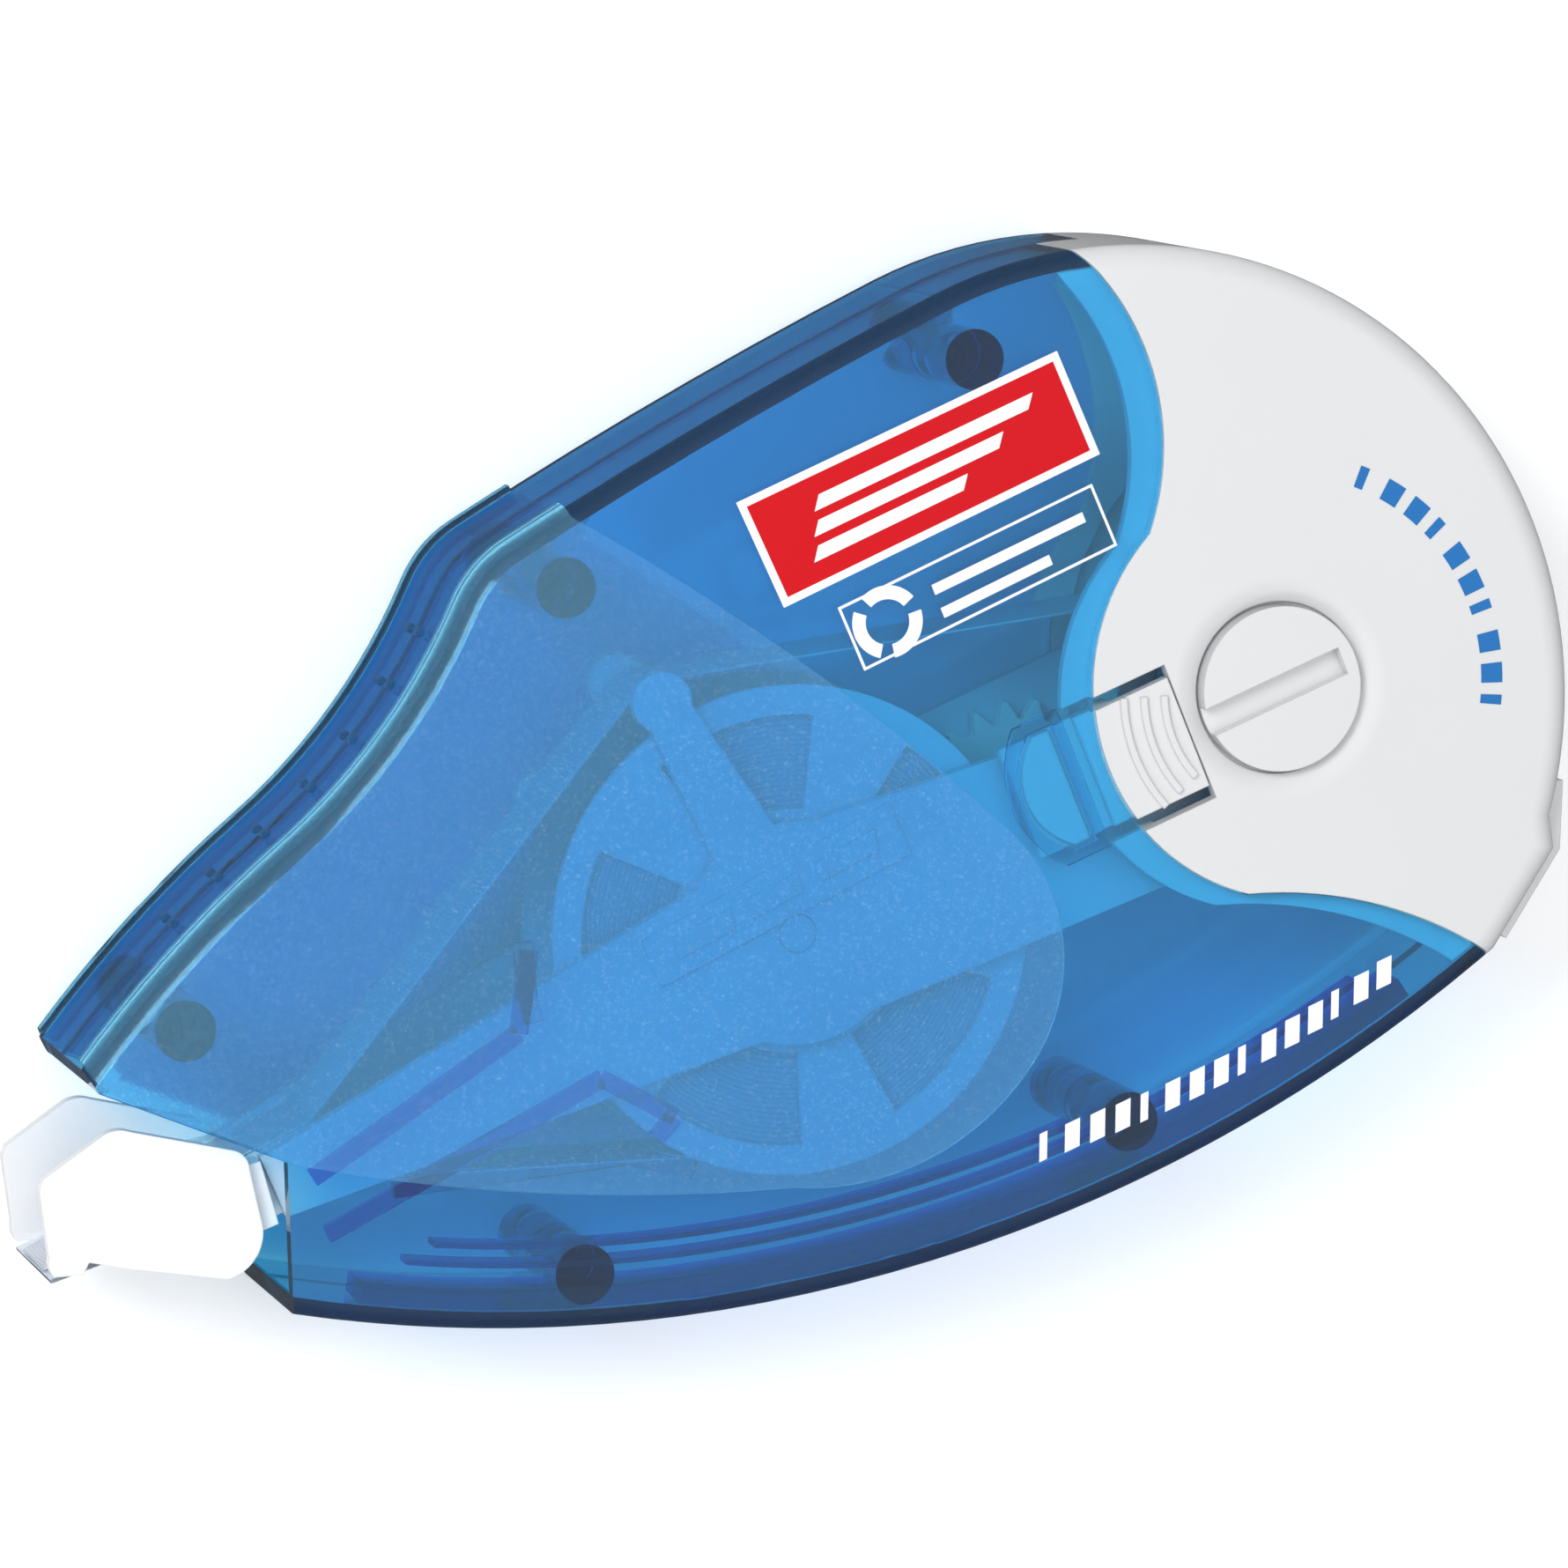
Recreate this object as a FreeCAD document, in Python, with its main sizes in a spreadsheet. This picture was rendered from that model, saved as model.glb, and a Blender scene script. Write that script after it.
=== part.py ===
"""Correction tape roller with a refill cassette, in millimetres.

Frame: origin under the supply spool's axis, on the flat far side that the roller rests on.
+X runs from the applicator tip to the round rear cap, +Y up the side profile, +Z through the thickness,
towards the side with the tension knob.
"""
import FreeCAD
import Part
import Sketcher
import math
import os

V = FreeCAD.Vector
doc = FreeCAD.newDocument("correction_tape_roller")
sheet = doc.addObject("Spreadsheet::Sheet", "Sizes")

# Driving dimensions: alias, value, what it is.
SIZES = [
    ("nose_reach", 57.2, "supply axis to the nose corner of the housing"),
    ("tip_proud", 8.1, "nose corner to the blade's tip edge"),
    ("knob_x", 43.2, "supply axis to knob axis, along the body"),
    ("knob_y", 2.4, "supply axis to knob axis, up the profile"),
    ("cap_radius", 37.4, "round rear cap"),
    ("cap_x", 31.1, "centre of the rear cap's round, along the body"),
    ("cap_y", 5.4, "centre of the rear cap's round, up the profile"),
    ("back_height", 41.3, "crown of the housing's back above the supply axis"),
    ("belly_depth", 29.9, "lowest point of the housing below the supply axis"),
    ("side_wall", 1.6, "wall of the shells along the profile"),
    ("face_wall", 1.4, "wall of the shells' flat faces"),
    ("grip_wall", 0.44, "wall of the frosted grip panels"),
    ("grip_rise", 0.5, "how far a grip panel stands off its shell"),
    ("grip_skirt", 3.0, "how far a grip panel's rim reaches down the side"),
    ("edge_round", 2.2, "rounding of the shells' outer edges"),
    ("seat_gap", 0.12, "clearance between pieces that seat in each other"),
    ("seam_gap", 0.15, "gap between the rear cap and the housing"),
    ("seam_to_knob", 15.8, "from the seam's middle to the knob's axis"),
    ("lip_root", 1.3, "how deep the cap's lip is rooted behind the seam"),
    ("far_seam_shift", 3.0, "how much further back the seam lies on the far side"),
    ("thumb_ledge", 1.2, "how far the ledge that pulls the cap out stands off it"),
    ("lip_reach", 2.4, "how far the cap's lip goes under the housing"),
    ("lip_wall", 1.0, "thickness of the cap's lip"),
    ("boss_radius", 2.4, "pin bosses that join the housing's shells"),
    ("pin_radius", 1.2, "pins in those bosses"),
    ("pin_depth", 4.0, "how deep those pins go"),
    ("rib_width", 1.5, "guide ribs inside the near shell"),
    ("rib_depth", 0.85, "how far the guide ribs stand inwards"),
    ("layer_gap", 0.2, "axial clearance between neighbouring layers"),
    ("frame_gap", 0.4, "far face's inside to the cassette frame"),
    ("plate_wall", 1.0, "cassette frame's plate"),
    ("arm_wall", 1.3, "cassette arm's plate"),
    ("latch_room", 3.5, "space between the cassette arm and the near face"),
    ("gear_width", 1.4, "face width of the gears"),
    ("flange_wall", 0.6, "spool flanges"),
    ("tape_width", 8.4, "correction tape"),
    ("supply_flange_radius", 19.7, "supply spool's flanges"),
    ("supply_core_radius", 9.0, "supply spool's core"),
    ("supply_bore_radius", 5.4, "supply spool's bore"),
    ("supply_tape_radius", 17.4, "outside of the fresh tape roll"),
    ("drive_hub_radius", 4.5, "drive gear's hub inside the supply spool"),
    ("supply_axle_radius", 2.5, "supply axle"),
    ("take_up_flange_radius", 11.5, "take-up spool's flanges"),
    ("take_up_core_radius", 5.0, "take-up spool's core"),
    ("take_up_tape_radius", 7.4, "outside of the used ribbon roll"),
    ("take_up_axle_radius", 2.0, "take-up axle"),
    ("idler_axle_radius", 1.5, "idler axle"),
    ("running_gap", 0.06, "radial clearance of a bore on its axle"),
    ("gear_module", 0.8, "module of the gear train"),
    ("supply_teeth", 40, "teeth of the drive gear"),
    ("take_up_teeth", 29, "teeth of the take-up gear"),
    ("backlash", 0.34, "tooth clearance along the pitch circle"),
    ("knob_radius", 6.65, "tension knob"),
    ("knob_gap", 0.3, "gap round the knob in its hole"),
    ("knob_proud", 0.35, "knob's top above the cap's face"),
    ("knob_stem_radius", 3.2, "knob's stem"),
    ("knob_flange", 1.1, "flange that keeps the knob behind the face"),
    ("coin_slot_width", 2.3, "coin slot across the knob"),
    ("coin_slot_depth", 1.3, "depth of the coin slot"),
    ("crater_radius", 9.0, "soft dish round the knob"),
    ("crater_depth", 0.8, "depth of that dish at the knob's hole"),
    ("rib_pitch", 1.7, "spacing of the ribs across the latch tongue"),
    ("latch_overlap", 0.6, "how far the latch tongue's root runs into the dish"),
    ("latch_length", 14.6, "latch tongue from its root to its free end"),
    ("latch_width", 9.5, "latch tongue"),
    ("latch_wall", 1.1, "thickness of the latch tongue"),
    ("latch_slot", 1.1, "slots beside the latch tongue"),
    ("catch_height", 0.8, "catch on the latch tongue"),
    ("strike_gap", 0.35, "clearance round the latch's catch in its strike ring"),
    ("strike_wall", 0.9, "wall of the strike ring"),
    ("strike_depth", 0.75, "strike ring that holds the catch"),
    ("wing_wall", 1.2, "guard wings at the tip"),
    ("blade_wall", 0.9, "applicator blade at its root"),
    ("blade_edge", 0.3, "applicator blade at its edge"),
    ("neck_height", 5.2, "cassette neck that the blade stands in"),
    ("ribbon", 0.15, "thickness of the tape"),
]
for row, (alias, number, meaning) in enumerate(SIZES, start=1):
    sheet.set(f"A{row}", alias)
    sheet.set(f"B{row}", str(number))
    sheet.set(f"C{row}", meaning)
    sheet.setAlias(f"B{row}", alias)
doc.recompute()


class Size:
    """A length that knows its value and the spreadsheet formula behind it."""

    def __init__(self, formula, value):
        self.formula = formula
        self.value = value

    def _with(self, other, sign, result):
        text = other.formula if isinstance(other, Size) else repr(other)
        return Size(f"({self.formula} {sign} {text})", result)

    def __add__(self, other):
        return self._with(other, "+", self.value + number_of(other))

    def __sub__(self, other):
        return self._with(other, "-", self.value - number_of(other))

    def __mul__(self, other):
        return self._with(other, "*", self.value * number_of(other))

    def __truediv__(self, other):
        return self._with(other, "/", self.value / number_of(other))


def number_of(size):
    """The plain number of a Size or of a number."""
    return size.value if isinstance(size, Size) else size


def cell(alias):
    """The Size held by one cell of the sheet."""
    return Size(f"Sizes.{alias}", float(sheet.get(alias)))


S = {alias: cell(alias) for alias, number, meaning in SIZES}
ZERO = S["face_wall"] * 0

tip_reach = S["nose_reach"] + S["tip_proud"]

# Levels through the thickness, from the far side's grip panel at zero to the near one.
far_face = S["grip_rise"]
far_inside = far_face + S["face_wall"]
plate_low = far_inside + S["frame_gap"]
plate_top = plate_low + S["plate_wall"]
gear_low = plate_top + S["layer_gap"]
gear_top = gear_low + S["gear_width"]
flange_low = gear_top + S["layer_gap"]
flange_top = flange_low + S["flange_wall"]
tape_low = flange_top + S["layer_gap"]
tape_top = tape_low + S["tape_width"]
near_flange_low = tape_top + S["layer_gap"]
near_flange_top = near_flange_low + S["flange_wall"]
arm_low = near_flange_top + S["layer_gap"]
arm_top = arm_low + S["arm_wall"]
near_inside = arm_top + S["latch_room"]
near_face = near_inside + S["face_wall"]
thickness = near_face + S["grip_rise"]
parting = thickness / 2

FAR, NEAR = -1, 1


# ---------------------------------------------------------------- outlines

def point(x, y):
    """A point of the profile plane."""
    return V(number_of(x), number_of(y), 0)


def path_edges(start, steps):
    """Edges along a path: a step is (end,) for a line, (via, end) for an arc or (None, end) for a tangent arc."""
    edges = []
    here = start
    for step in steps:
        end = step[-1]
        if len(step) == 1:
            edges.append(Part.LineSegment(here, end).toShape())
        elif step[0] is None:
            edges.append(Part.Arc(here, tangent_via(edges[-1], here, end), end).toShape())
        else:
            edges.append(Part.Arc(here, step[0], end).toShape())
        here = end
    return edges


def tangent_via(last_edge, here, end):
    """The middle of the arc to a point that leaves the last edge without a corner."""
    along = last_edge.tangentAt(last_edge.LastParameter)
    if last_edge.valueAt(last_edge.LastParameter).distanceToPoint(here) > 1e-6:
        along = last_edge.tangentAt(last_edge.FirstParameter) * -1
    chord = end - here
    half_turn = math.atan2(along.x * chord.y - along.y * chord.x, along.dot(chord))
    across = V(chord.y, -chord.x, 0)
    return here + chord * 0.5 + across * (math.tan(half_turn / 2) / 2)


def closed_wire(start, steps):
    """A closed wire along a path that ends where it starts."""
    return Part.Wire(path_edges(start, steps + [(start,)]))


def grown(wire, distance):
    """The wire moved outwards (or inwards, if negative) by a distance, in its plane."""
    return wire.makeOffset2D(number_of(distance), 0, False, False, True)


def cap_point(angle):
    """A point on the rear cap's round, at an angle in degrees from +X."""
    turn = math.radians(angle)
    radius = S["cap_radius"].value
    return point(S["cap_x"].value + radius * math.cos(turn), S["cap_y"].value + radius * math.sin(turn))


def back_arc(start, slope):
    """The middle and end of the arc that leaves a point at a slope in degrees and runs into the rear cap's round."""
    inward = V(math.sin(math.radians(slope)), -math.cos(math.radians(slope)), 0)
    centre = point(S["cap_x"], S["cap_y"])
    cap = S["cap_radius"].value
    away = start - centre
    radius = (cap ** 2 - away.Length ** 2) / (2 * (inward.dot(away) + cap))
    hub = start + inward * radius
    end = centre + (centre - hub).normalize() * cap
    middle = hub + ((start - hub).normalize() + (end - hub).normalize()).normalize() * radius
    return middle, end


LEDGE_STEP = V(-0.7, -2.7, 0)


def cap_end():
    """Where the cap's round ends at its lower rear corner."""
    return cap_point(-37)


def tail_point():
    """Where the cap's straight lower edge meets the belly."""
    return point(cap_end().x - 8.6, 4.6 - S["belly_depth"].value)


def side_profile():
    """The whole side profile of the roller, nose left open-ended beyond its corner."""
    nose = S["nose_reach"].value
    back = S["back_height"].value
    belly = S["belly_depth"].value
    hood_end = point(-10.2, back - 2.6)
    hood_slope = 8.7
    ledge = cap_end() + LEDGE_STEP
    tail = tail_point()
    jaw = point(-nose + 5.4, -8.0)
    nose_corner = point(-nose, 14.8)
    steps = [
        (point(-nose + 10.6, 20.2), point(-nose + 21.8, 24.4)),
        (None, point(-15.5, back - 5.2)),
        (None, hood_end),
        back_arc(hood_end, hood_slope),
        (cap_point(10), cap_end()),
        (ledge,),
        (tail,),
        (point(19.0, -belly), point(-14.3, -belly + 4.3)),
        (None, jaw),
        (point(-nose - 9.0, 1.0),),
        (point(-nose - 9.0, 8.6),),
    ]
    return closed_wire(nose_corner, steps)


def seam_steps(shift=0.0):
    """The S-shaped edge between housing and rear cap, from above the back to below the belly."""
    x = S["knob_x"].value + shift
    y = S["knob_y"].value
    start = point(x - 3.4, y + 45)
    back_edge = point(x - 2.8, y + 39.4)
    return start, [
        (back_edge,),
        (point(x - 0.4, y + 30.4), point(x - 5.6, y + 16.0)),
        (point(x - S["seam_to_knob"].value, y - 1.4), point(x - 8.9, y - 14.2)),
        (point(x - 0.8, y - 18.4), point(x + 8.1, y - 27.3)),
        (point(x + 13.0, y - 42),),
    ]


def seam_shift(side):
    """How much further back the seam lies on that side."""
    return S["far_seam_shift"].value if side == FAR else 0.0


def behind_seam(shift=0.0):
    """The region on the rear cap's side of the seam."""
    start, steps = seam_steps(shift)
    return closed_wire(start, steps + [(V(140, -50, 0),), (V(140, 60, 0),), (V(start.x, 60, 0),)])


def before_seam(shift=0.0):
    """The region on the housing's side of the seam."""
    start, steps = seam_steps(shift)
    return closed_wire(start, steps + [(V(start.x, -60, 0),), (V(-140, -60, 0),), (V(-140, start.y, 0),)])


def nose_mouth():
    """The notch in front of the housing that the applicator reaches out of."""
    nose = S["nose_reach"].value
    return closed_wire(point(-nose + 0.7, 13.2), [
        (point(-nose + 12.0, 1.9),),
        (point(-nose + 8.2, -8.2),),
        (point(-nose + 7.4, -14.0),),
        (point(-nose - 60, -14.0),),
        (point(-nose - 60, 40.0),),
        (point(-nose - 0.5, 22.0),),
    ])


def behind_grip():
    """The region of the housing's face that the frosted grip panel leaves clear."""
    nose = S["nose_reach"].value
    top = S["back_height"].value
    notch = point(-nose + 12.0, 1.9)
    below = point(-nose + 6.0, -12.0)
    return closed_wire(point(-5.0, top - 2.4), [
        (point(7.2, 21.4), point(17.7, 2.1)),
        (point(18.9, -8.0), point(12.8, -16.6)),
        (point(3.0, -20.0), point(-9.0, -17.4)),
        (point(-24.6, -10.6), notch),
        (below,),
        (V(below.x, -60, 0),),
        (V(140, -60, 0),),
        (V(140, 90, 0),),
        (V(-8.6, 90, 0),),
    ])


def region(keep, *drops):
    """The outer wire of one region with others taken away from it."""
    face = Part.Face(keep)
    for drop in drops:
        face = face.cut(Part.Face(drop))
    faces = sorted(face.Faces, key=lambda f: f.Area)
    return faces[-1].OuterWire


def overlap(first, second):
    """The outer wire of what two regions share."""
    faces = sorted(Part.Face(first).common(Part.Face(second)).Faces, key=lambda f: f.Area)
    return faces[-1].OuterWire


PROFILE = side_profile()
CAVITY = grown(PROFILE, S["side_wall"] * -1)


# ---------------------------------------------------------------- document helpers

def new_body(name, x=None, y=None, turn=0.0):
    """A PartDesign body, placed at x and y and turned about Z by degrees."""
    body = doc.addObject("PartDesign::Body", name)
    body.Label = name
    body.Placement = FreeCAD.Placement(V(number_of(x or 0), number_of(y or 0), 0), FreeCAD.Rotation(V(0, 0, 1), turn))
    if isinstance(x, Size):
        body.setExpression("Placement.Base.x", x.formula)
    if isinstance(y, Size):
        body.setExpression("Placement.Base.y", y.formula)
    return body


def plane(body, role):
    """One of the body's own origin planes or axes."""
    return [f for f in body.Origin.OriginFeatures if f.Role == role][0]


def new_sketch(body, level):
    """A sketch on the body's XY plane, raised to a level."""
    sketch = body.newObject("Sketcher::SketchObject", f"{body.Name}_sketch")
    sketch.AttachmentSupport = [(plane(body, "XY_Plane"), "")]
    sketch.MapMode = "FlatFace"
    sketch.AttachmentOffset = FreeCAD.Placement(V(0, 0, level.value), FreeCAD.Rotation())
    sketch.setExpression("AttachmentOffset.Base.z", level.formula)
    return sketch


def draw_wire(sketch, wire):
    """Put a wire's lines and arcs into a sketch."""
    for edge in wire.Edges:
        first = edge.valueAt(edge.FirstParameter)
        last = edge.valueAt(edge.LastParameter)
        if isinstance(edge.Curve, Part.Circle) and first.distanceToPoint(last) > 1e-6:
            middle = edge.valueAt((edge.FirstParameter + edge.LastParameter) / 2)
            sketch.addGeometry(Part.Arc(flat(first), flat(middle), flat(last)), False)
        elif isinstance(edge.Curve, Part.Circle):
            sketch.addGeometry(Part.Circle(flat(edge.Curve.Center), V(0, 0, 1), edge.Curve.Radius), False)
        else:
            sketch.addGeometry(Part.LineSegment(flat(first), flat(last)), False)


def flat(place):
    """A point laid into the sketch plane."""
    return V(place.x, place.y, 0)


def draw_circle(sketch, radius, x=0.0, y=0.0):
    """A circle whose radius is driven by the sheet."""
    index = sketch.addGeometry(Part.Circle(V(number_of(x), number_of(y), 0), V(0, 0, 1), radius.value), False)
    constraint = sketch.addConstraint(Sketcher.Constraint("Radius", index, radius.value))
    sketch.setExpression(f"Constraints[{constraint}]", radius.formula)


def extrude(body, kind, level, length, side, draw):
    """A Pad or Pocket from a level, towards the near (1) or far (-1) side."""
    sketch = new_sketch(body, level)
    draw(sketch)
    sketch.recompute()
    before = body.Shape.Volume if body.Tip else 0.0
    feature = body.newObject(f"PartDesign::{kind}", f"{body.Name}_{kind.lower()}")
    feature.Profile = sketch
    feature.Length = length.value
    feature.setExpression("Length", length.formula)
    feature.Reversed = (side < 0) if kind == "Pad" else (side > 0)
    body.Tip = feature
    feature.recompute()
    body.recompute()
    after = body.Shape.Volume
    changed = after > before if kind == "Pad" else after < before
    if not changed:
        raise RuntimeError(f"{feature.Name} changed nothing")
    return feature


def add_wire(body, wire, level, length, side=NEAR):
    """A pad of a wire."""
    return extrude(body, "Pad", level, length, side, lambda sketch: draw_wire(sketch, wire))


def cut_wire(body, wire, level, length, side=NEAR):
    """A pocket of a wire."""
    return extrude(body, "Pocket", level, length, side, lambda sketch: draw_wire(sketch, wire))


def add_disc(body, radius, level, length, bore=None, x=0.0, y=0.0, side=NEAR):
    """A round pad, with a bore if one is given."""

    def draw(sketch):
        draw_circle(sketch, radius, x, y)
        if bore:
            draw_circle(sketch, bore, x, y)

    return extrude(body, "Pad", level, length, side, draw)


def cut_disc(body, radius, level, length, x=0.0, y=0.0, side=NEAR):
    """A round pocket."""
    return extrude(body, "Pocket", level, length, side, lambda sketch: draw_circle(sketch, radius, x, y))


def round_edges(body, radius, chosen):
    """Fillet the edges of the body's tip that a test picks."""
    tip = body.Tip
    names = [f"Edge{i + 1}" for i, edge in enumerate(tip.Shape.Edges) if chosen(edge)]
    fillet = body.newObject("PartDesign::Fillet", f"{body.Name}_fillet")
    fillet.Base = (tip, names)
    fillet.Radius = radius.value
    fillet.setExpression("Radius", radius.formula)
    body.Tip = fillet
    fillet.recompute()
    body.recompute()


def hollow(body, wall, open_level):
    """Hollow out the body's tip to an even wall, open at the face that lies at one level."""
    tip = body.Tip
    names = [f"Face{i + 1}" for i, face in enumerate(tip.Shape.Faces)
             if abs(face.BoundBox.ZMin - open_level.value) < 1e-6 and abs(face.BoundBox.ZMax - open_level.value) < 1e-6]
    feature = body.newObject("PartDesign::Thickness", f"{body.Name}_thickness")
    feature.Base = (tip, names)
    feature.Value = wall.value
    feature.setExpression("Value", wall.formula)
    feature.Reversed = True
    body.Tip = feature
    feature.recompute()
    body.recompute()


def groove(body, x, y, steps):
    """Turn a closed outline of radius and height round an axis along Z, and take it away."""
    sketch = body.newObject("Sketcher::SketchObject", f"{body.Name}_turned")
    sketch.AttachmentSupport = (plane(body, "XZ_Plane"), [""])
    sketch.MapMode = "FlatFace"
    sketch.AttachmentOffset = FreeCAD.Placement(V(x.value, 0, -y.value), FreeCAD.Rotation())
    sketch.setExpression("AttachmentOffset.Base.x", x.formula)
    sketch.setExpression("AttachmentOffset.Base.z", f"-({y.formula})")
    draw_wire(sketch, closed_wire(steps[0], steps[1:]))
    sketch.recompute()
    before = body.Shape.Volume
    feature = body.newObject("PartDesign::Groove", f"{body.Name}_groove")
    feature.Profile = sketch
    feature.ReferenceAxis = (sketch, ["V_Axis"])
    feature.Angle = 360
    body.Tip = feature
    feature.recompute()
    body.recompute()
    if not body.Shape.Volume < before:
        raise RuntimeError(f"{feature.Name} changed nothing")


def at_level(level):
    """A test for edges that lie wholly at one level."""
    return lambda edge: all(abs(v.Z - level.value) < 1e-6 for v in edge.Vertexes)


def outward(side, offset):
    """The level at a distance from the parting plane, towards one side."""
    return parting + offset if side > 0 else parting - offset


def rectangle(x_low, y_low, x_high, y_high):
    """A rectangle as a closed wire."""
    return closed_wire(point(x_low, y_low), [(point(x_high, y_low),), (point(x_high, y_high),), (point(x_low, y_high),)])


def bar(start, end, start_half, end_half):
    """A tapered bar between two points, as a closed wire."""
    along = (end - start).normalize()
    across = V(-along.y, along.x, 0)
    return closed_wire(start + across * start_half, [
        (end + across * end_half,), (end - across * end_half,), (start - across * start_half,)])


def strip(points, width):
    """A thin strip of even width along a list of points, as a closed wire."""
    upper = []
    lower = []
    for i, here in enumerate(points):
        before = points[max(i - 1, 0)]
        after = points[min(i + 1, len(points) - 1)]
        along_in = (here - before).normalize() if i else (after - here).normalize()
        along_out = (after - here).normalize() if i < len(points) - 1 else along_in
        middle = (along_in + along_out).normalize()
        across = V(-middle.y, middle.x, 0)
        reach = width / 2 / max(0.5, across.dot(V(-along_in.y, along_in.x, 0)))
        upper.append(here + across * reach)
        lower.append(here - across * reach)
    return closed_wire(upper[0], [(p,) for p in upper[1:] + lower[::-1]])


# ---------------------------------------------------------------- housing

half_depth = parting - far_face
half_inside = parting - far_inside
BOSSES = [
    point(S["cap_x"].value - 1.2, S["back_height"].value - 4.4),
    point(-7.4, S["back_height"].value - 7.4),
    point(-S["nose_reach"].value + 8.9, 14.6),
    point(-26.9, -16.8),
    point(18.6, -S["belly_depth"].value + 5.0),
]


def housing_shell(name, side):
    """One clear shell of the housing, with its seat for the grip panel and its pin bosses."""
    body = new_body(name)
    add_wire(body, PROFILE, parting, half_depth, side)
    round_edges(body, S["edge_round"], at_level(outward(side, half_depth)))
    cut_wire(body, CAVITY, parting, half_inside, side)
    cut_wire(body, behind_seam(seam_shift(side)), parting, half_depth, side)
    cut_wire(body, nose_mouth(), parting, half_depth, side)
    for spot in BOSSES:
        add_boss(body, side, spot)
    return body


def add_boss(body, side, spot):
    """A pin boss of the near shell, or the socket for it in the far one."""
    stop = S["layer_gap"]
    length = half_inside - stop + S["face_wall"] / 4
    add_disc(body, S["boss_radius"], outward(side, stop), length, x=spot.x, y=spot.y, side=side)
    if side == NEAR:
        add_disc(body, S["pin_radius"], parting + stop, S["pin_depth"], x=spot.x, y=spot.y, side=FAR)
    else:
        bore = S["pin_radius"] + S["seat_gap"]
        cut_disc(body, bore, parting, S["pin_depth"] + stop, x=spot.x, y=spot.y, side=FAR)


def guide_rib(body, points):
    """A rib inside the near shell that leads the cassette's neck to the mouth."""
    root = S["face_wall"] / 4
    wire = strip(points, S["rib_width"].value)
    add_wire(body, wire, near_inside - S["rib_depth"], S["rib_depth"] + root)


def latch_place():
    """Root, free end and middle height of the latch tongue."""
    root = S["knob_x"] - S["crater_radius"] + S["latch_overlap"]
    return root, root - S["latch_length"], S["knob_y"]


def catch_outline(growth):
    """The D-shaped outline of the catch, rounded towards the nose."""
    root, free, middle = latch_place()
    low = middle.value - S["latch_width"].value / 2 - growth
    high = middle.value + S["latch_width"].value / 2 + growth
    left = free.value + 0.4 - growth
    right = free.value + 4.2 + growth
    return closed_wire(point(right, low), [
        (point(right, high),), (point(left + 2.4, high),),
        (point(left, middle.value), point(left + 2.4, low))])


def near_shell():
    """Near shell, with the cassette's guide ribs and the strike ring for the latch's catch."""
    body = housing_shell("near_shell", NEAR)
    nose = S["nose_reach"].value
    guide_rib(body, [point(-21.2, 9.6), point(-22.6, 5.4), point(-22.9, 3.4)])
    guide_rib(body, [point(-nose + 19.0, -3.9), point(-20.0, -9.6), point(-15.6, -13.0)])
    ring_gap = S["strike_gap"].value
    ring_wall = S["strike_wall"].value
    root = S["face_wall"] / 4
    level = near_inside - S["strike_depth"]
    add_wire(body, catch_outline(ring_gap + ring_wall), level, S["strike_depth"] + root)
    cut_wire(body, catch_outline(ring_gap), level, S["strike_depth"])
    return body


def grip_panel(name, side):
    """A frosted skin that wraps the nose of its shell like a sleeve."""
    body = new_body(name)
    rim = outward(side, half_depth - S["grip_skirt"])
    rise = S["grip_rise"]
    height = S["grip_skirt"] + rise
    add_wire(body, grown(PROFILE, rise), rim, height, side)
    round_edges(body, S["edge_round"] + rise, at_level(outward(side, half_depth + rise)))
    hollow(body, S["grip_wall"], rim)
    cut_wire(body, behind_grip(), rim, height, side)
    cut_wire(body, grown(nose_mouth(), S["seat_gap"] * 2), rim, height, side)
    return body


# ---------------------------------------------------------------- rear cap and latch

def rear_cover(name, side):
    """One half of the white rear cap, with the lip that goes under the housing's edge."""
    body = new_body(name)
    gap = S["seam_gap"].value + seam_shift(side)
    add_wire(body, PROFILE, parting, half_depth, side)
    round_edges(body, S["edge_round"], at_level(outward(side, half_depth)))
    cut_wire(body, CAVITY, parting, half_inside, side)
    add_wire(body, thumb_ledge(), parting, half_depth - S["edge_round"] * 1.5, side)
    cut_wire(body, before_seam(gap), parting, half_depth, side)
    inner = grown(PROFILE, (S["side_wall"] + S["seam_gap"]) * -1)
    root = S["lip_root"].value
    lip = region(overlap(inner, behind_seam(seam_shift(side) - S["lip_reach"].value)), behind_seam(gap + root))
    step = region(overlap(inner, behind_seam(gap)), behind_seam(gap + root))
    lip_outer = half_inside - S["seam_gap"]
    add_wire(body, lip, outward(side, lip_outer - S["lip_wall"]), S["lip_wall"], side)
    add_wire(body, step, outward(side, lip_outer - S["lip_wall"] / 2), S["lip_wall"], side)
    return body


def dish_outline(hole):
    """Radius and height round the dish's section, which rolls from the face into the knob's hole."""
    rim = S["crater_radius"].value
    top = near_face.value
    depth = S["crater_depth"].value
    reach = rim - hole
    roll = (reach * reach + depth * depth) / (2 * depth)
    half_turn = math.asin(reach / roll) / 2
    middle = point(rim - roll * math.sin(half_turn), top - roll + roll * math.cos(half_turn))
    inner = hole - S["knob_gap"].value
    above = top + S["face_wall"].value
    return [point(rim, top), (middle, point(hole, top - depth)), (point(inner, top - depth),),
            (point(inner, above),), (point(rim, above),)]


def thumb_ledge():
    """The ledge along the cap's lower rear corner, astride the profile."""
    corner = cap_end() + LEDGE_STEP
    tail = tail_point()
    return strip([cap_point(-33), corner, corner + (tail - corner) * 0.85], S["thumb_ledge"].value * 2)


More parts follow.
